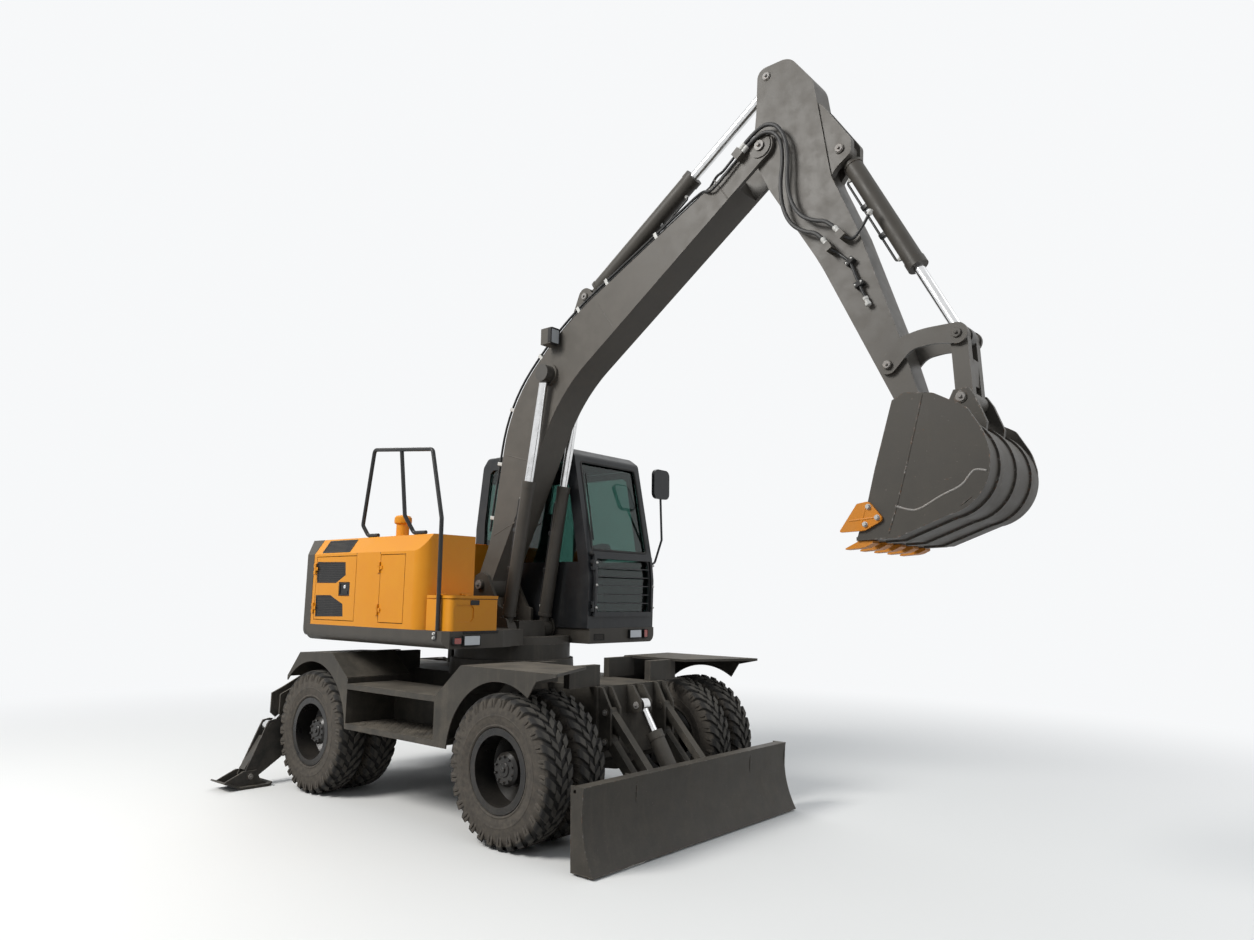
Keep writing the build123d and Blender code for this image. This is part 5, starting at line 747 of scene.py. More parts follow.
def build_chrome():
    """Hard chrome with a haze of oil; the eyes at the rods' ends are painted."""
    material, tree = new_material("chrome")
    place = shader(tree, "TexCoord").outputs["Object"]
    flat = shader(tree, "VectorMath", {0: place, 1: (1, 0, 1)}, operation="MULTIPLY").outputs[0]
    painted = 0.0
    for eye, reach in ROD_EYES:
        away = shader(tree, "VectorMath", {0: flat, 1: eye}, operation="DISTANCE").outputs["Value"]
        painted = worked(tree, "MAXIMUM", worked(tree, "LESS_THAN", away, reach), painted)
    haze = noise(tree, place, 14.0, 5.0)
    blur, tint = spread(tree, haze, 0.35, 0.7, 0.10, 0.28), spread(tree, haze, 0.3, 0.75, 0.80, 0.60)
    surfaced(tree, {"Base Color": mixed(tree, painted, tint, (0.052, 0.048, 0.042, 1)),
                    "Metallic": worked(tree, "SUBTRACT", 1.0, painted),
                    "Roughness": spread(tree, painted, 0.0, 1.0, blur, 0.45)})
    return material


chrome = build_chrome()
dress(chrome, *[name for name in cad if name.endswith("_rod")])
lock = bmesh.new()
add_turned(lock, side_plane(-0.857, 1.790, -0.010), (0, -1, 0),
           [(0.0165, 0), (0.0165, 0.006), (0.0145, 0.008), (0.009, 0.008), (0.008, 0.006)], 28)
add_piece("door_lock", lock, chrome, "hood_door_rear")

# the hood's panels meet in open seams that run up its shoulder and over its
# top, where an orange air intake stands. The seams are black strips: painted shade in the gaps.
HOOD_TOP_LEVEL = 2.220
SHOULDER_TOP_Y = -1.125
SEAM_LINE = [(SIDE_Y - 0.0002, 2.066), (SIDE_Y - 0.0003, 2.080), (SHOULDER_TOP_Y, HOOD_TOP_LEVEL + 0.0006),
             (-0.560, HOOD_TOP_LEVEL + 0.0006)]
hood_seam_painted_shade = bmesh.new()
for x in (-0.683, -0.329):
    add_rings(hood_seam_painted_shade, [[Vector((x + aside, y + sunk, z - sunk)) for aside, sunk in (
        (-0.0035, 0), (0.0035, 0), (0.0035, 0.004), (-0.0035, 0.004))] for y, z in SEAM_LINE])
add_piece("hood_seam_painted_shade", hood_seam_painted_shade, grille_black_and_shade, "upper")
intake = bmesh.new()
add_turned(intake, (-0.450, -0.930, HOOD_TOP_LEVEL - 0.001), (0, 0, 1),
           [(0.066, 0), (0.066, 0.008), (0.056, 0.014), (0.056, 0.118), (0.074, 0.130), (0.076, 0.150),
            (0.074, 0.178), (0.060, 0.194), (0.026, 0.203), (0, 0.204)], 40)
add_piece("air_intake", intake, orange_paint, "upper")
clasp = bmesh.new()
add_slab(clasp, box_outline((-0.990, -0.900), (1.655, 1.694), 0.006), (-0.0005, 0.0035), 0.0015,
         ahead_of(0.590))
add_piece("tool_box_clasp", clasp, grille_black_and_shade, "upper")

# The handrail: bent steel tube in black paint, on two feet that are bolted
# through the skirt and the hood.
rail_paint = sprayed("rail_paint", (0.016, 0.017, 0.018, 1), (0.030, 0.030, 0.030, 1), gloss=0.32,
                     dust=0.16, splash=0.0, wear=0.35, coat=0.2)
dress(rail_paint, "handrail")
foot = bmesh.new()
add_slab(foot, rounded([(0.432, 1.452, 0.004), (0.482, 1.452, 0.004), (0.482, 1.384, 0.014),
                        (0.432, 1.384, 0.014)]), (-0.001, 0.0065), 0.002, side_plane)
add_piece("rail_foot", foot, rail_paint, "upper")
foot_bolts = bmesh.new()
for level in (1.402, 1.434):
    add_bolt(foot_bolts, side_plane(0.457, level, 0.006), (0, -1, 0), 0.019)
bright_zinc = sprayed("bright_zinc", (0.62, 0.62, 0.60, 1), (0.50, 0.49, 0.47, 1), gloss=0.30, dust=0.15,
                      splash=0.0, wear=0.0)
add_piece("rail_foot_bolts", foot_bolts, bright_zinc, "upper")

# The cab: pressed steel pillars and panels in satin black, with bonded glass
# in rubber seals, a barred guard over the lower window and a parked wiper.
cab_paint = sprayed("cab_paint", (0.018, 0.020, 0.023, 1), (0.034, 0.036, 0.038, 1), gloss=0.30,
                    dust=0.14, splash=1.5, wear=0.25, coat=0.25)
dress(cab_paint, "cab", "cab_door", "window_guard", "mirror_and_lamps")


def build_glass():
    """Green-tinted safety glass with a thin film of dust."""
    material, tree = new_material("cab_glass")
    haze = noise(tree, shader(tree, "TexCoord").outputs["Object"], 3.0, 6.0)
    surfaced(tree, {"Base Color": (0.16, 0.28, 0.25, 1), "IOR": 1.45, "Transmission Weight": 1.0,
                    "Roughness": spread(tree, haze, 0.45, 0.75, 0.02, 0.12)})
    return material


cab_glass = build_glass()
dress(cab_glass, "cab_glass", "cab_door_glass")
CAB_MIDDLE = 0.7525
GLASS_HALF = 0.3925
# the raked plane of the windscreen, on which its seal and the wiper lie
FRONT_FOOT_X, FRONT_FOOT_LEVEL = 0.630, 2.130
FRONT_RAKE = (FRONT_FOOT_X - 0.440) / (3.050 - FRONT_FOOT_LEVEL)
front_plane = plane_at((FRONT_FOOT_X + FRONT_RAKE * FRONT_FOOT_LEVEL, 0, 0), ACROSS,
                       Vector((-FRONT_RAKE, 0, 1)), ALONG)

seals = bmesh.new()
screen = box_outline((CAB_MIDDLE - GLASS_HALF - 0.010, CAB_MIDDLE + GLASS_HALF + 0.010), (2.150, 3.000),
                     0.050)
add_frame(seals, screen, 0.020, (-0.010, 0.005), 0.003, front_plane)
add_piece("windscreen_seal", seals, black_rubber, "upper")


def bent_line(corners, radius):
    """Gives a pipe's line through three-dimensional corners, each bent to a radius."""
    corners = [Vector(corner) for corner in corners]
    line = corners[:1]
    for before, here, after in zip(corners, corners[1:], corners[2:]):
        line += eased_corner(before, here, after, radius, 6)
    return line + corners[-1:]


def add_pipe(bm, line, radius, sides=12):
    """Adds a round pipe along a line, closed at both ends."""
    line = [Vector(point) for point in line]
    heading = (line[1] - line[0]).normalized()
    across = heading.orthogonal().normalized()
    rings = []
    for i, point in enumerate(line):
        before, after = line[max(i - 1, 0)], line[min(i + 1, len(line) - 1)]
        now = (after - before).normalized()
        across = (heading.rotation_difference(now) @ across).normalized()
        across = (across - now * across.dot(now)).normalized()
        heading, along = now, now.cross(across)
        rings.append([point + (across * math.cos(a) + along * math.sin(a)) * radius
                      for a in (math.tau * k / sides for k in range(sides))])
    add_rings(bm, rings)


wiper = bmesh.new()
add_turned(wiper, front_plane(0.335, 2.120, 0.0), (1, 0, 0.2),
           [(0.020, 0), (0.020, 0.022), (0.014, 0.030)], 20)
add_pipe(wiper, [front_plane(0.335, 2.120, 0.024), front_plane(0.352, 2.300, 0.026),
                 front_plane(0.386, 2.560, 0.022)], 0.006, 8)
blade_line = [front_plane(0.382 + 0.012 * k / 6, 2.250 + 0.62 * k / 6, 0.012) for k in range(7)]
blade_section = [(0.010, 0), (0.004, 0.006), (-0.006, 0.0012), (-0.006, -0.0012), (0.004, -0.006)]
add_rings(wiper, [[point + Vector((x, y, 0)) for x, y in blade_section] for point in blade_line])
add_piece("wiper", wiper, black_rubber, "upper")

guard_bolts = bmesh.new()
for y in (0.352, 1.153):
    for z in (1.640, 1.840, 2.040):
        add_bolt(guard_bolts, Vector((0.6995, y, z)), (1, 0, 0), 0.016)
add_piece("guard_bolts", guard_bolts, bright_zinc, "window_guard")

# black louvres in the cab's foot, and the door's pull handle
foot_vent = bmesh.new()
add_frame(foot_vent, box_outline((0.371, 0.507), (1.350, 1.406), 0.008), 0.007, (-0.0005, 0.005), 0.0015,
          ahead_of(0.660))
for row in range(4):
    add_slat(foot_vent, (0.377, 0.501), 1.3595 + 0.0105 * row,
             [(0, -0.0005), (0.001, 0.0040), (0.003, 0.0040), (0.0075, -0.0005)], ahead_of(0.660))
add_piece("foot_vent", foot_vent, black_rubber, "upper", crisp=20)
handle = bmesh.new()
add_pipe(handle, bent_line([(0.440, 1.213, 1.760), (0.440, 1.236, 1.760), (0.455, 1.236, 1.990),
                            (0.455, 1.213, 1.990)], 0.016), 0.0085, 12)
add_piece("door_handle", handle, rail_paint, "cab_door")

# Mirror and lamps: a silvered pane in the mirror's shell, and ribbed lenses,
# two clear and two red, behind black bezels on the deck's front edges.
silver, tree = new_material("silver")
surfaced(tree, {"Base Color": (0.80, 0.83, 0.85, 1), "Metallic": 1.0, "Roughness": 0.06})
pane = bmesh.new()
add_slab(pane, box_outline((1.138, 1.352), (2.713, 2.977), 0.048), (-0.001, 0.002), 0.001,
         plane_at((0.695, 0, 0), ACROSS, UP, -ALONG))
add_piece("mirror_pane", pane, silver, "upper")


def build_lens(name, colour):
    """Moulded plastic with fine upright ribs."""
    material, tree = new_material(name)
    ribs = shader(tree, "TexWave", {"Vector": shader(tree, "TexCoord").outputs["Object"], "Scale": 22.0},
                  wave_type="BANDS", bands_direction="Y").outputs["Fac"]
    surfaced(tree, {"Base Color": colour, "Roughness": 0.12, "Normal": relief(tree, ribs, 0.5),
                    "Coat Weight": 0.6, "Coat Roughness": 0.04})
    return material


clear_lens = build_lens("clear_lens", (0.62, 0.66, 0.70, 1))
red_lens = build_lens("red_lens", (0.42, 0.035, 0.020, 1))
DECK_LAMPS = [(0.590, (-1.062, -0.893), (1.340, 1.426), clear_lens),
              (0.590, (-1.158, -1.077), (1.352, 1.413), red_lens),
              (0.660, (0.837, 1.013), (1.357, 1.440), clear_lens),
              (0.660, (1.043, 1.105), (1.357, 1.440), red_lens)]
LAMP_DEPTH = 0.0243
for place, (face, across, up, lens) in enumerate(DECK_LAMPS):
    front = ahead_of(face + LAMP_DEPTH)
    bezel, glass = bmesh.new(), bmesh.new()
    add_frame(bezel, box_outline(across, up, 0.014), 0.008, (-0.001, 0.004), 0.0015, front)
    inside = [(low + 0.008, high - 0.008) for low, high in (across, up)]
    add_slab(glass, box_outline(*inside, 0.008), (-0.0005, 0.0025), 0.0012, front)
    add_piece("lamp_bezel_%d" % place, bezel, black_rubber, "upper")
    add_piece("lamp_lens_%d" % place, glass, lens, "upper")

# The operator's seat: foam cushions in woven cloth with stitched channels, on
# a moulded base, and beside it the consoles with their levers.
cab_plastic = sprayed("cab_plastic", (0.030, 0.030, 0.032, 1), (0.05, 0.05, 0.052, 1), gloss=0.6,
                      dust=0.15, splash=0.0, wear=0.0, bump=0.4)
dress(cab_plastic, "cab_controls", "seat")


def build_cloth():
    """Woven cloth: two sets of threads that cross, in two greys."""
    material, tree = new_material("seat_cloth")
    place = shader(tree, "TexCoord").outputs["Object"]
    threads = [shader(tree, "TexWave", {"Vector": place, "Scale": 160.0}, bands_direction=way).outputs["Fac"]
               for way in "YX"]
    surfaced(tree, {"Base Color": mixed(tree, noise(tree, place, 11.0, 4.0), (0.030, 0.031, 0.034, 1),
                                        (0.060, 0.060, 0.064, 1)),
                    "Roughness": 0.9, "Sheen Weight": 0.25,
                    "Normal": relief(tree, worked(tree, "MULTIPLY", *threads), 0.4, 0.001)})
    return material


seat_cloth = build_cloth()


def cushion_mesh(name, length, width, thick, to_machine):
    """A stuffed cushion: full in the middle, thin at its seam, with stitched channels."""
    form, steps_u, steps_v = bmesh.new(), 40, 36
    grid = {}
    for face in (1, -1):
        for i in range(steps_u + 1):
            for j in range(steps_v + 1):
                u, v = 2 * i / steps_u - 1, 2 * j / steps_v - 1
                if face < 0 and (i in (0, steps_u) or j in (0, steps_v)):
                    continue
                full = ((1 - u ** 6) * (1 - v ** 6)) ** 0.42
                bolster = 0.16 * math.exp(-((abs(v) - 0.80) / 0.16) ** 2)
                channel = sum(math.exp(-((u - at) / 0.035) ** 2) for at in (-0.5, 0.0, 0.5))
                channel *= 1.0 if abs(v) < 0.62 else 0.0
                seam = math.exp(-((abs(v) - 0.62) / 0.03) ** 2)
                rise = full * (0.84 + bolster - 0.09 * channel - 0.09 * seam) if face > 0 else full
                # rounded corners in plan
                pull = 1 - 0.06 * (u * u * v * v) ** 3
                grid[face, i, j] = form.verts.new(to_machine @ Vector((
                    u * length / 2 * pull, v * width / 2 * pull, face * rise * thick / 2)))
    for face in (1, -1):
        for i in range(steps_u):
            for j in range(steps_v):
                corners = [grid.get((face, a, b)) or grid[1, a, b]
                           for a, b in ((i, j), (i + 1, j), (i + 1, j + 1), (i, j + 1))]
                form.faces.new(corners if face > 0 else corners[::-1])
    return closed_mesh(name, form, 60)


seat_base = bmesh.new()
for low, high, shrink in ((1.5005, 1.560, 0.0), (1.560, 1.700, 0.05), (1.700, 1.760, 0.0)):
    outline = box_outline((-0.545 + shrink, -0.085 - shrink), (0.535 + shrink, 0.975 - shrink), 0.05)
    add_slab(seat_base, outline, (low, high), 0.012, plane_at((0, 0, 0), ALONG, ACROSS, UP))
base_piece = add_piece("seat_base", seat_base, cab_plastic, "upper")
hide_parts("seat")
cushion = new_piece("seat_cushion", cushion_mesh(
    "seat_cushion", 0.515, 0.488, 0.235,
    Matrix.Translation((-0.260, 0.755, 1.846)) @ Matrix.Rotation(math.radians(-2), 4, "Y")),
    seat_cloth, "upper")
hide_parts("seat")
backrest = new_piece("seat_backrest", cushion_mesh(
    "seat_backrest", 0.640, 0.448, 0.150,
    Matrix.Translation((-0.530, 0.755, 2.278)) @ Matrix.Rotation(math.radians(-79.4), 4, "Y")
    @ Matrix.Rotation(math.pi, 4, "Y") @ Matrix.Rotation(math.pi, 4, "Z")), seat_cloth, "upper")
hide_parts("seat")

# The boom: a welded box of plate in dark grey, with ground weld seams, steel
# oil pipes clamped along its back, and a work lamp on its right side.
dress(boom_paint, "boom", "stick", "rocker", "bucket_link")
dress(platform_paint, *[name for name in cad if name.endswith("_barrel")])


def add_weld(bm, start, end, out, width=0.012, height=0.0028):
    """Adds a rippled weld bead that lies on a plate."""
    start, end, out = Vector(start), Vector(end), Vector(out).normalized()
    run = end - start
    across = out.cross(run).normalized()
    count = max(4, int(run.length / 0.008))
    rings = []
    for i in range(count + 1):
        middle = start + run * i / count
        swell = height * (1.0 if i % 2 else 0.72)
        half = width / 2 * (1.0 if i % 2 else 0.90)
        rings.append([middle + across * half * a + out * b for a, b in (
            (-1, -0.001), (-0.7, swell * 0.7), (0, swell), (0.7, swell * 0.7), (1, -0.001))])
    add_rings(bm, rings)


BOOM_SIDE_Y = 0.150
BOOM_SEAMS = [((2.323, 4.985), (2.454, 4.786)), ((1.109, 4.236), (1.299, 3.974)),
              ((-0.013, 3.024), (0.288, 2.939)), ((-0.153, 2.278), (0.168, 2.402))]
seams = bmesh.new()
for (x0, z0), (x1, z1) in BOOM_SEAMS:
    for side in (-1, 1):
        add_weld(seams, (x0, side * BOOM_SIDE_Y, z0), (x1, side * BOOM_SIDE_Y, z1), (0, side, 0))
add_piece("boom_seams", seams, boom_paint, "boom", crisp=60)


def arc_line(corners):
    """Gives the points of a line in the X-Z plane whose corners, (x, z, radius), are true arcs."""
    line = [Vector(corners[0][:2])]
    for before, (x, z, radius), after in zip(corners, corners[1:], corners[2:]):
        here = Vector((x, z))
        back, on = (Vector(before[:2]) - here).normalized(), (Vector(after[:2]) - here).normalized()
        half = back.angle(on) / 2
        centre = here + (back + on).normalized() * radius / math.sin(half)
        start, end = here + back * radius / math.tan(half), here + on * radius / math.tan(half)
        first, last = start - centre, end - centre
        swing = first.angle_signed(last)
        line += [centre + Matrix.Rotation(-swing * k / 8, 2) @ first for k in range(9)]
    return line + [Vector(corners[-1][:2])]


def beside_line(line, gap):
    """Moves a line sideways, to the left of its run."""
    moved = []
    for i, point in enumerate(line):
        run = (line[min(i + 1, len(line) - 1)] - line[max(i - 1, 0)]).normalized()
        moved.append(point + Vector((-run.y, run.x)) * gap)
    return moved


BOOM_BACK = [(-0.345, 1.880, 0), (-0.186, 2.230, 0.900), (0.027, 3.471, 1.250), (0.660, 4.109, 2.980),
             (2.363, 4.972, 0)]
PIPE_RISE = 0.045
PIPE_Y = (-0.132, -0.098)
HOSE_Y = -0.182
PIPE_RADIUS = 0.0105
back = [point for point in beside_line(arc_line(BOOM_BACK), PIPE_RISE) if point.y > 2.30]
pipes, clamps = bmesh.new(), bmesh.new()
inner_end = [(2.225, -0.150, 4.925)] + [(x, HOSE_Y, z) for x, z in (
    (2.300, 4.875), (2.400, 4.933), (2.534, 5.042), (2.610, 5.1038))]
outer_end = [(2.350, -0.150, 5.010)] + [(x, HOSE_Y, z) for x, z in (
    (2.425, 5.003), (2.510, 5.0714), (2.586, 5.1333))]
back_slope = (BOOM_BACK[-1][1] - BOOM_BACK[-2][1]) / (BOOM_BACK[-1][0] - BOOM_BACK[-2][0])
for y, reach, end in ((PIPE_Y[0], 2.120, inner_end), (PIPE_Y[1], 2.250, outer_end)):
    run = [(point.x, y, point.y) for point in back if point.x < reach - 0.15]
    run.append((reach, y, BOOM_BACK[-2][1] + (reach - BOOM_BACK[-2][0]) * back_slope + PIPE_RISE * 1.12))
    line = [Vector(point) for point in run] + bent_line([run[-1]] + end, 0.05)[1:]
    add_pipe(pipes, line, PIPE_RADIUS)
add_piece("boom_pipes", pipes, rail_paint, "boom", crisp=60)

CLAMP_LEVELS = (2.45, 2.95, 3.45, 3.90, 4.25, 4.43, 4.70)
clamp_bolts = bmesh.new()
for level in CLAMP_LEVELS:
    near = min(range(len(back) - 1), key=lambda i: abs((back[i].y + back[i + 1].y) / 2 - level))
    a, b = back[near], back[near + 1]
    at_pipe = a + (b - a) * (level - a.y) / (b.y - a.y)
    run = (b - a).normalized()
    up, out = Vector((run.x, 0, run.y)), Vector((-run.y, 0, run.x))
    centre = Vector((at_pipe.x, sum(PIPE_Y) / 2, at_pipe.y))
    add_slab(clamps, box_outline((-0.034, 0.034), (-0.016, 0.016), 0.005), (-PIPE_RISE - 0.002, 0.015),
             0.003, plane_at(centre, ACROSS, up, out))
    add_bolt(clamp_bolts, centre + out * 0.0155, out, 0.014)
add_piece("pipe_clamps", clamps, bright_zinc, "boom")
add_piece("clamp_bolts", clamp_bolts, bright_zinc, "boom")

lamp_shell, lamp_glass = bmesh.new(), bmesh.new()
add_frame(lamp_shell, box_outline((-0.278, -0.162), (3.942, 4.093), 0.020), 0.012, (-0.030, 0.010), 0.003,
          ahead_of(0.660))
add_slab(lamp_glass, box_outline((-0.267, -0.173), (3.953, 4.082), 0.014), (-0.001, 0.004), 0.002,
         ahead_of(0.660))
add_piece("boom_lamp_bezel", lamp_shell, black_rubber, "boom")
add_piece("boom_lamp_lens", lamp_glass, clear_lens, "boom")

# The linkage pins: hard steel in bushed bosses, each kept in by a bolted disc
# of worn steel. The rocker's discs are painted over with the boom.
LINKAGE_PINS = [("boom", 2.745, 5.120, 0.040), ("revolving_frame", -0.250, 1.832, 0.042),
                ("stick", 3.365, 4.905, 0.030), ("stick", 3.690, 3.258, 0.026),
                ("bucket", 4.164, 2.970, 0.030), ("rocker", 4.140, 3.390, 0.030),
                ("boom", 0.880, 4.375, 0.030), ("stick", 2.783, 5.697, 0.030)]
BODY_OF = {"revolving_frame": "upper"}
by_node = {}
for node, x, z, radius in LINKAGE_PINS:
    caps = by_node.setdefault(node, bmesh.new())
    for side in (-1, 1):
        add_pin_cap(caps, node, (x, side * 0.9, z), (0, -side, 0), radius)
for node, caps in by_node.items():
    add_piece("pin_keepers_" + node, caps, boom_paint if node == "rocker" else worn_steel,
              BODY_OF.get(node, node))

# The cylinders: barrels in the machine's grey. The boom's, arm's and bucket's
# each carry oil to the rod's end in a steel pipe, held between bright unions.
CYLINDERS = [("boom_cylinder_barrel", (0.160, 1.440), (0.549, 3.695), (-0.220, 0.220), 0.20, 1.16, -1),
             ("arm_cylinder_barrel", (0.880, 4.375), (2.783, 5.697), (0.0,), 0.22, 1.24, 1),
             ("bucket_cylinder_barrel", (3.365, 4.905), (4.140, 3.390), (0.0,), 0.20, 0.96, 1)]
SEATED = 0.012
for name, base, top, places, start, end, hand in CYLINDERS:
    base, top = Vector((base[0], 0, base[1])), Vector((top[0], 0, top[1]))
    axis = (top - base).normalized()
    aside = ACROSS.cross(axis) * hand
    feed, ports = bmesh.new(), bmesh.new()
    for y in places:
        first, last = (base + axis * along + ACROSS * y for along in (start, end))
        found = [surface_of(name, middle + aside * 0.4, -aside) for middle in (first, last)]
        wall = max((place - middle).length for place, middle in zip(found, (first, last)) if place)
        foot, run = aside * (wall - SEATED), aside * (wall + 0.030)
        add_pipe(feed, bent_line([first + foot, first + run, last + run, last + foot], 0.028), 0.0085)
        for place in (first, last):
            add_turned(ports, place + foot, aside,
                       [(0.017, 0), (0.017, 0.020), (0.0125, 0.026), (0.0125, 0.032)], 6)
        for share in (0.34, 0.70):
            add_slab(feed, box_outline((-0.016, 0.016), (-0.018, 0.018), 0.005),
                     (wall - SEATED, wall + 0.042), 0.003,
                     plane_at(first.lerp(last, share), ACROSS, axis, aside))
    add_piece(name + "_pipe", feed, rail_paint, name, crisp=60)
    add_piece(name + "_ports", ports, bright_zinc, name)

# The stick's hoses: braided rubber between the boom's pipes and the stick's
# fittings, in two hanging loops.
HOSE_RADIUS = 0.015
HOSES = {
    "outer": [(2.588, 5.1347), (2.743, 5.261), (2.885, 5.245), (2.975, 5.115), (3.000, 4.940),
              (2.985, 4.760), (3.010, 4.590), (3.090, 4.450), (3.200, 4.380), (3.310, 4.350),
              (3.3855, 4.2479)],
    "inner": [(2.612, 5.1053), (2.730, 5.201), (2.868, 5.190), (2.945, 5.080), (2.955, 4.920),
              (2.930, 4.740), (2.945, 4.560), (3.010, 4.410), (3.120, 4.320), (3.235, 4.280),
              (3.2904, 4.185)],
}


def build_hose_rubber():
    """Black rubber over a braid, whose crossed strands show through the cover."""
    material, tree = new_material("hose_rubber")
    place = shader(tree, "TexCoord").outputs["Object"]
    strands = []
    for lean in (45, -45):
        at = shader(tree, "Mapping", {"Vector": place, "Rotation": (0, math.radians(lean), 0)}).outputs[0]
        strands.append(shader(tree, "TexWave", {"Vector": at, "Scale": 95.0}).outputs["Fac"])
    surfaced(tree, {"Base Color": mixed(tree, noise(tree, place, 12.0, 5.0), (0.010, 0.010, 0.011, 1),
                                        (0.040, 0.039, 0.037, 1)), "Roughness": 0.48,
                    "Normal": relief(tree, worked(tree, "MAXIMUM", *strands), 0.35, 0.001)})
    return material


hose_rubber = build_hose_rubber()
for word, route in HOSES.items():
    guide = bpy.data.curves.new("hose_route_" + word, "CURVE")
    guide.dimensions = "3D"
    guide.resolution_u = 14
    run = guide.splines.new("NURBS")
    run.points.add(len(route) - 1)
    for point, (x, z) in zip(run.points, route):
        point.co = (x, HOSE_Y, z, 1)
    run.order_u = 3
    run.use_endpoint_u = True
    holder = bpy.data.objects.new("hose_route_" + word, guide)
    bpy.context.scene.collection.objects.link(holder)
    bpy.context.view_layer.update()
    drawn = holder.to_mesh()
    line = [vertex.co.copy() for vertex in drawn.vertices]
    holder.to_mesh_clear()
    bpy.data.objects.remove(holder)
    tube = bmesh.new()
    add_pipe(tube, line, HOSE_RADIUS, 20)
    hose = add_piece("stick_hose_" + word, tube, hose_rubber, None, crisp=60)
    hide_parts("hose_" + word)
    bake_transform(hose)

# crimped sleeves on the hoses' ends, and the short pipes on the stick's side
SLEEVE = [(0.0185, 0), (0.0185, 0.016), (0.0172, 0.020), (0.0185, 0.024), (0.0185, 0.050), (0.0168, 0.054)]
for body, ends in (("boom", [((2.588, 5.1347), (2.743, 5.261)), ((2.612, 5.1053), (2.730, 5.201))]),
                   ("stick", [((3.3855, 4.2479), (3.310, 4.350)), ((3.2904, 4.185), (3.235, 4.280))])):
    sleeves = bmesh.new()
    for (x, z), (x_on, z_on) in ends:
        add_turned(sleeves, (x, HOSE_Y, z), (x_on - x, 0, z_on - z), SLEEVE, 24)
        add_turned(sleeves, (x, HOSE_Y, z), (x - x_on, 0, z - z_on),
                   [(0.0175, -0.001), (0.0175, 0.016), (0.0125, 0.020)], 6)
    add_piece("hose_sleeves_" + body, sleeves, bright_zinc, body)

STICK_PIPE_Y = -0.140
STICK_FACE_Y = -0.111
stick_pipes, stick_clamps, stick_zinc = bmesh.new(), bmesh.new(), bmesh.new()
for hung, clamped in (
        ([(3.2904, 4.185), (3.318, 4.138)],
         [(3.352, 4.120), (3.443, 4.031), (3.506, 3.855), (3.548, 3.750)]),
        ([(3.3855, 4.2479), (3.418, 4.204)], [(3.470, 4.180), (3.545, 4.262), (3.590, 4.330)])):
    add_pipe(stick_pipes, bent_line([(x, HOSE_Y, z) for x, z in hung]
                                    + [(x, STICK_PIPE_Y, z) for x, z in clamped], 0.035), PIPE_RADIUS)
for (x, z), lean in (((3.443, 4.031), 52), ((3.506, 3.855), 68)):
    swing = Matrix.Rotation(math.radians(lean), 3, "Y")
    add_slab(stick_clamps, box_outline((-0.020, 0.020), (-0.034, 0.034), 0.006), (-0.002, 0.047), 0.003,
             plane_at((x, STICK_FACE_Y, z), swing @ ALONG, swing @ UP, -ACROSS))
    for v in (-0.023, 0.023):
        add_bolt(stick_zinc, Vector((x, -0.158, z)) + swing @ UP * v, -ACROSS, 0.012)
add_turned(stick_zinc, (3.548, STICK_PIPE_Y, 3.750), (0.37, 0, -0.93),
           [(0.020, -0.002), (0.020, 0.016), (0.016, 0.020), (0.016, 0.040), (0.022, 0.044),
            (0.022, 0.062), (0.014, 0.068)], 6)
add_turned(stick_zinc, (3.590, STICK_PIPE_Y, 4.330), (0.55, 0, 0.83),
           [(0.018, -0.002), (0.018, 0.018), (0.013, 0.024), (0.013, 0.036)], 6)
add_piece("stick_pipes", stick_pipes, rail_paint, "stick", crisp=60)
add_piece("stick_clamps", stick_clamps, black_rubber, "stick")
add_piece("stick_fittings", stick_zinc, bright_zinc, "stick")

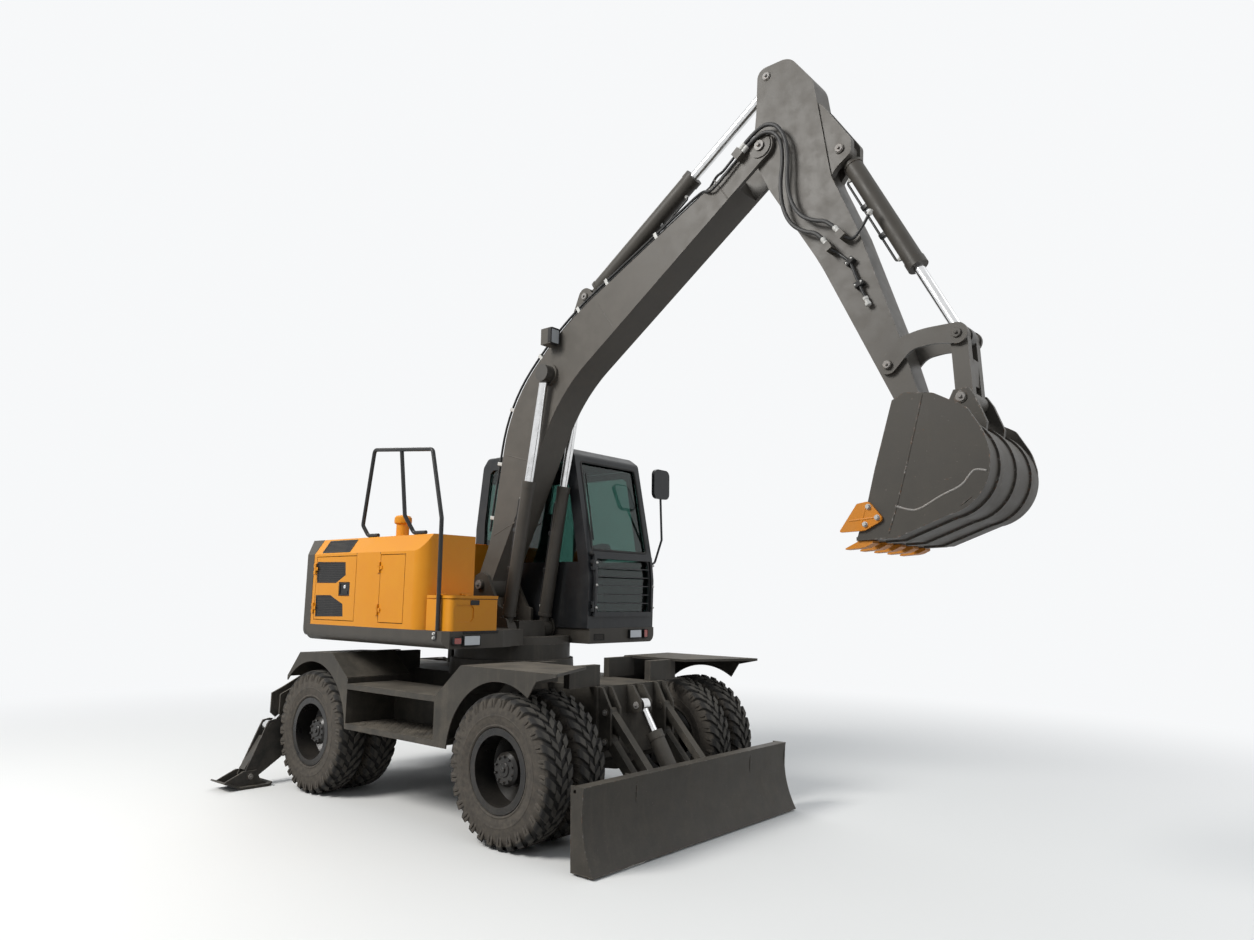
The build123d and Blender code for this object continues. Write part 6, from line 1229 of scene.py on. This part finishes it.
# The bucket: hard plate, rubbed bare and dusty where it digs, with its side
# cutters bolted on and a doubling plate welded round its heel.
digging_paint = sprayed("digging_paint", (0.060, 0.055, 0.048, 1), (0.082, 0.075, 0.064, 1), gloss=0.46,
                        dust=0.20, splash=0.0, wear=0.8, edge=0.014)
dress(digging_paint, "bucket")
tooth_paint = sprayed("tooth_paint", (0.68, 0.235, 0.014, 1), (0.60, 0.25, 0.05, 1), gloss=0.40, dust=0.20,
                      splash=0.0, wear=0.9, edge=0.006)
dress(tooth_paint, "bucket_teeth")
BUCKET_SEAMS = [[(4.037, 2.948), (3.956, 2.635), (3.863, 2.299), (3.804, 2.132)],
                [(3.851, 2.294), (3.920, 2.268), (3.988, 2.258), (4.126, 2.339), (4.247, 2.385),
                 (4.292, 2.447), (4.325, 2.477), (4.387, 2.461)]]
CUTTER_BOLTS = [(3.687, 2.296), (3.742, 2.228), (3.664, 2.190)]
CUTTER_FACE_Y = 0.4878
CUTTER_RIBS = [((3.560, 2.215), (3.722, 2.228)), ((3.668, 2.292), (3.640, 2.192))]


def eased_line(line):
    """Rounds a line by cutting its corners twice."""
    for _ in range(2):
        cut = [line[0]]
        for (x0, z0), (x1, z1) in zip(line, line[1:]):
            cut += [(x0 * (1 - share) + x1 * share, z0 * (1 - share) + z1 * share) for share in (0.25, 0.75)]
        line = cut + [line[-1]]
    return line


bucket_welds, heel_welds = bmesh.new(), bmesh.new()
cutter_bolts, cutter_ribs = bmesh.new(), bmesh.new()
for side in (-1, 1):
    for seam, welds in zip(BUCKET_SEAMS, (bucket_welds, heel_welds)):
        found = [surface_of("bucket", (x, side * 0.9, z), (0, -side, 0)) for x, z in eased_line(seam)]
        for a, b in zip(found, found[1:]):
            if a and b:
                add_weld(welds, a, b, (0, side, 0), 0.014, 0.0035)
    for rib in CUTTER_RIBS:
        start, end = ((x, side * CUTTER_FACE_Y, z) for x, z in rib)
        add_weld(cutter_ribs, start, end, (0, side, 0), 0.014, 0.0030)
    for x, z in CUTTER_BOLTS:
        face = surface_of("bucket_teeth", (x, side * 0.9, z), (0, -side, 0))
        if face:
            add_bolt(cutter_bolts, face, (0, side, 0), 0.024)
add_piece("bucket_welds", bucket_welds, digging_paint, "bucket", crisp=60)
add_piece("heel_welds", heel_welds, worn_steel, "bucket", crisp=60)
add_piece("cutter_ribs", cutter_ribs, tooth_paint, "bucket", crisp=60)
add_piece("cutter_bolts", cutter_bolts, bright_zinc, "bucket")
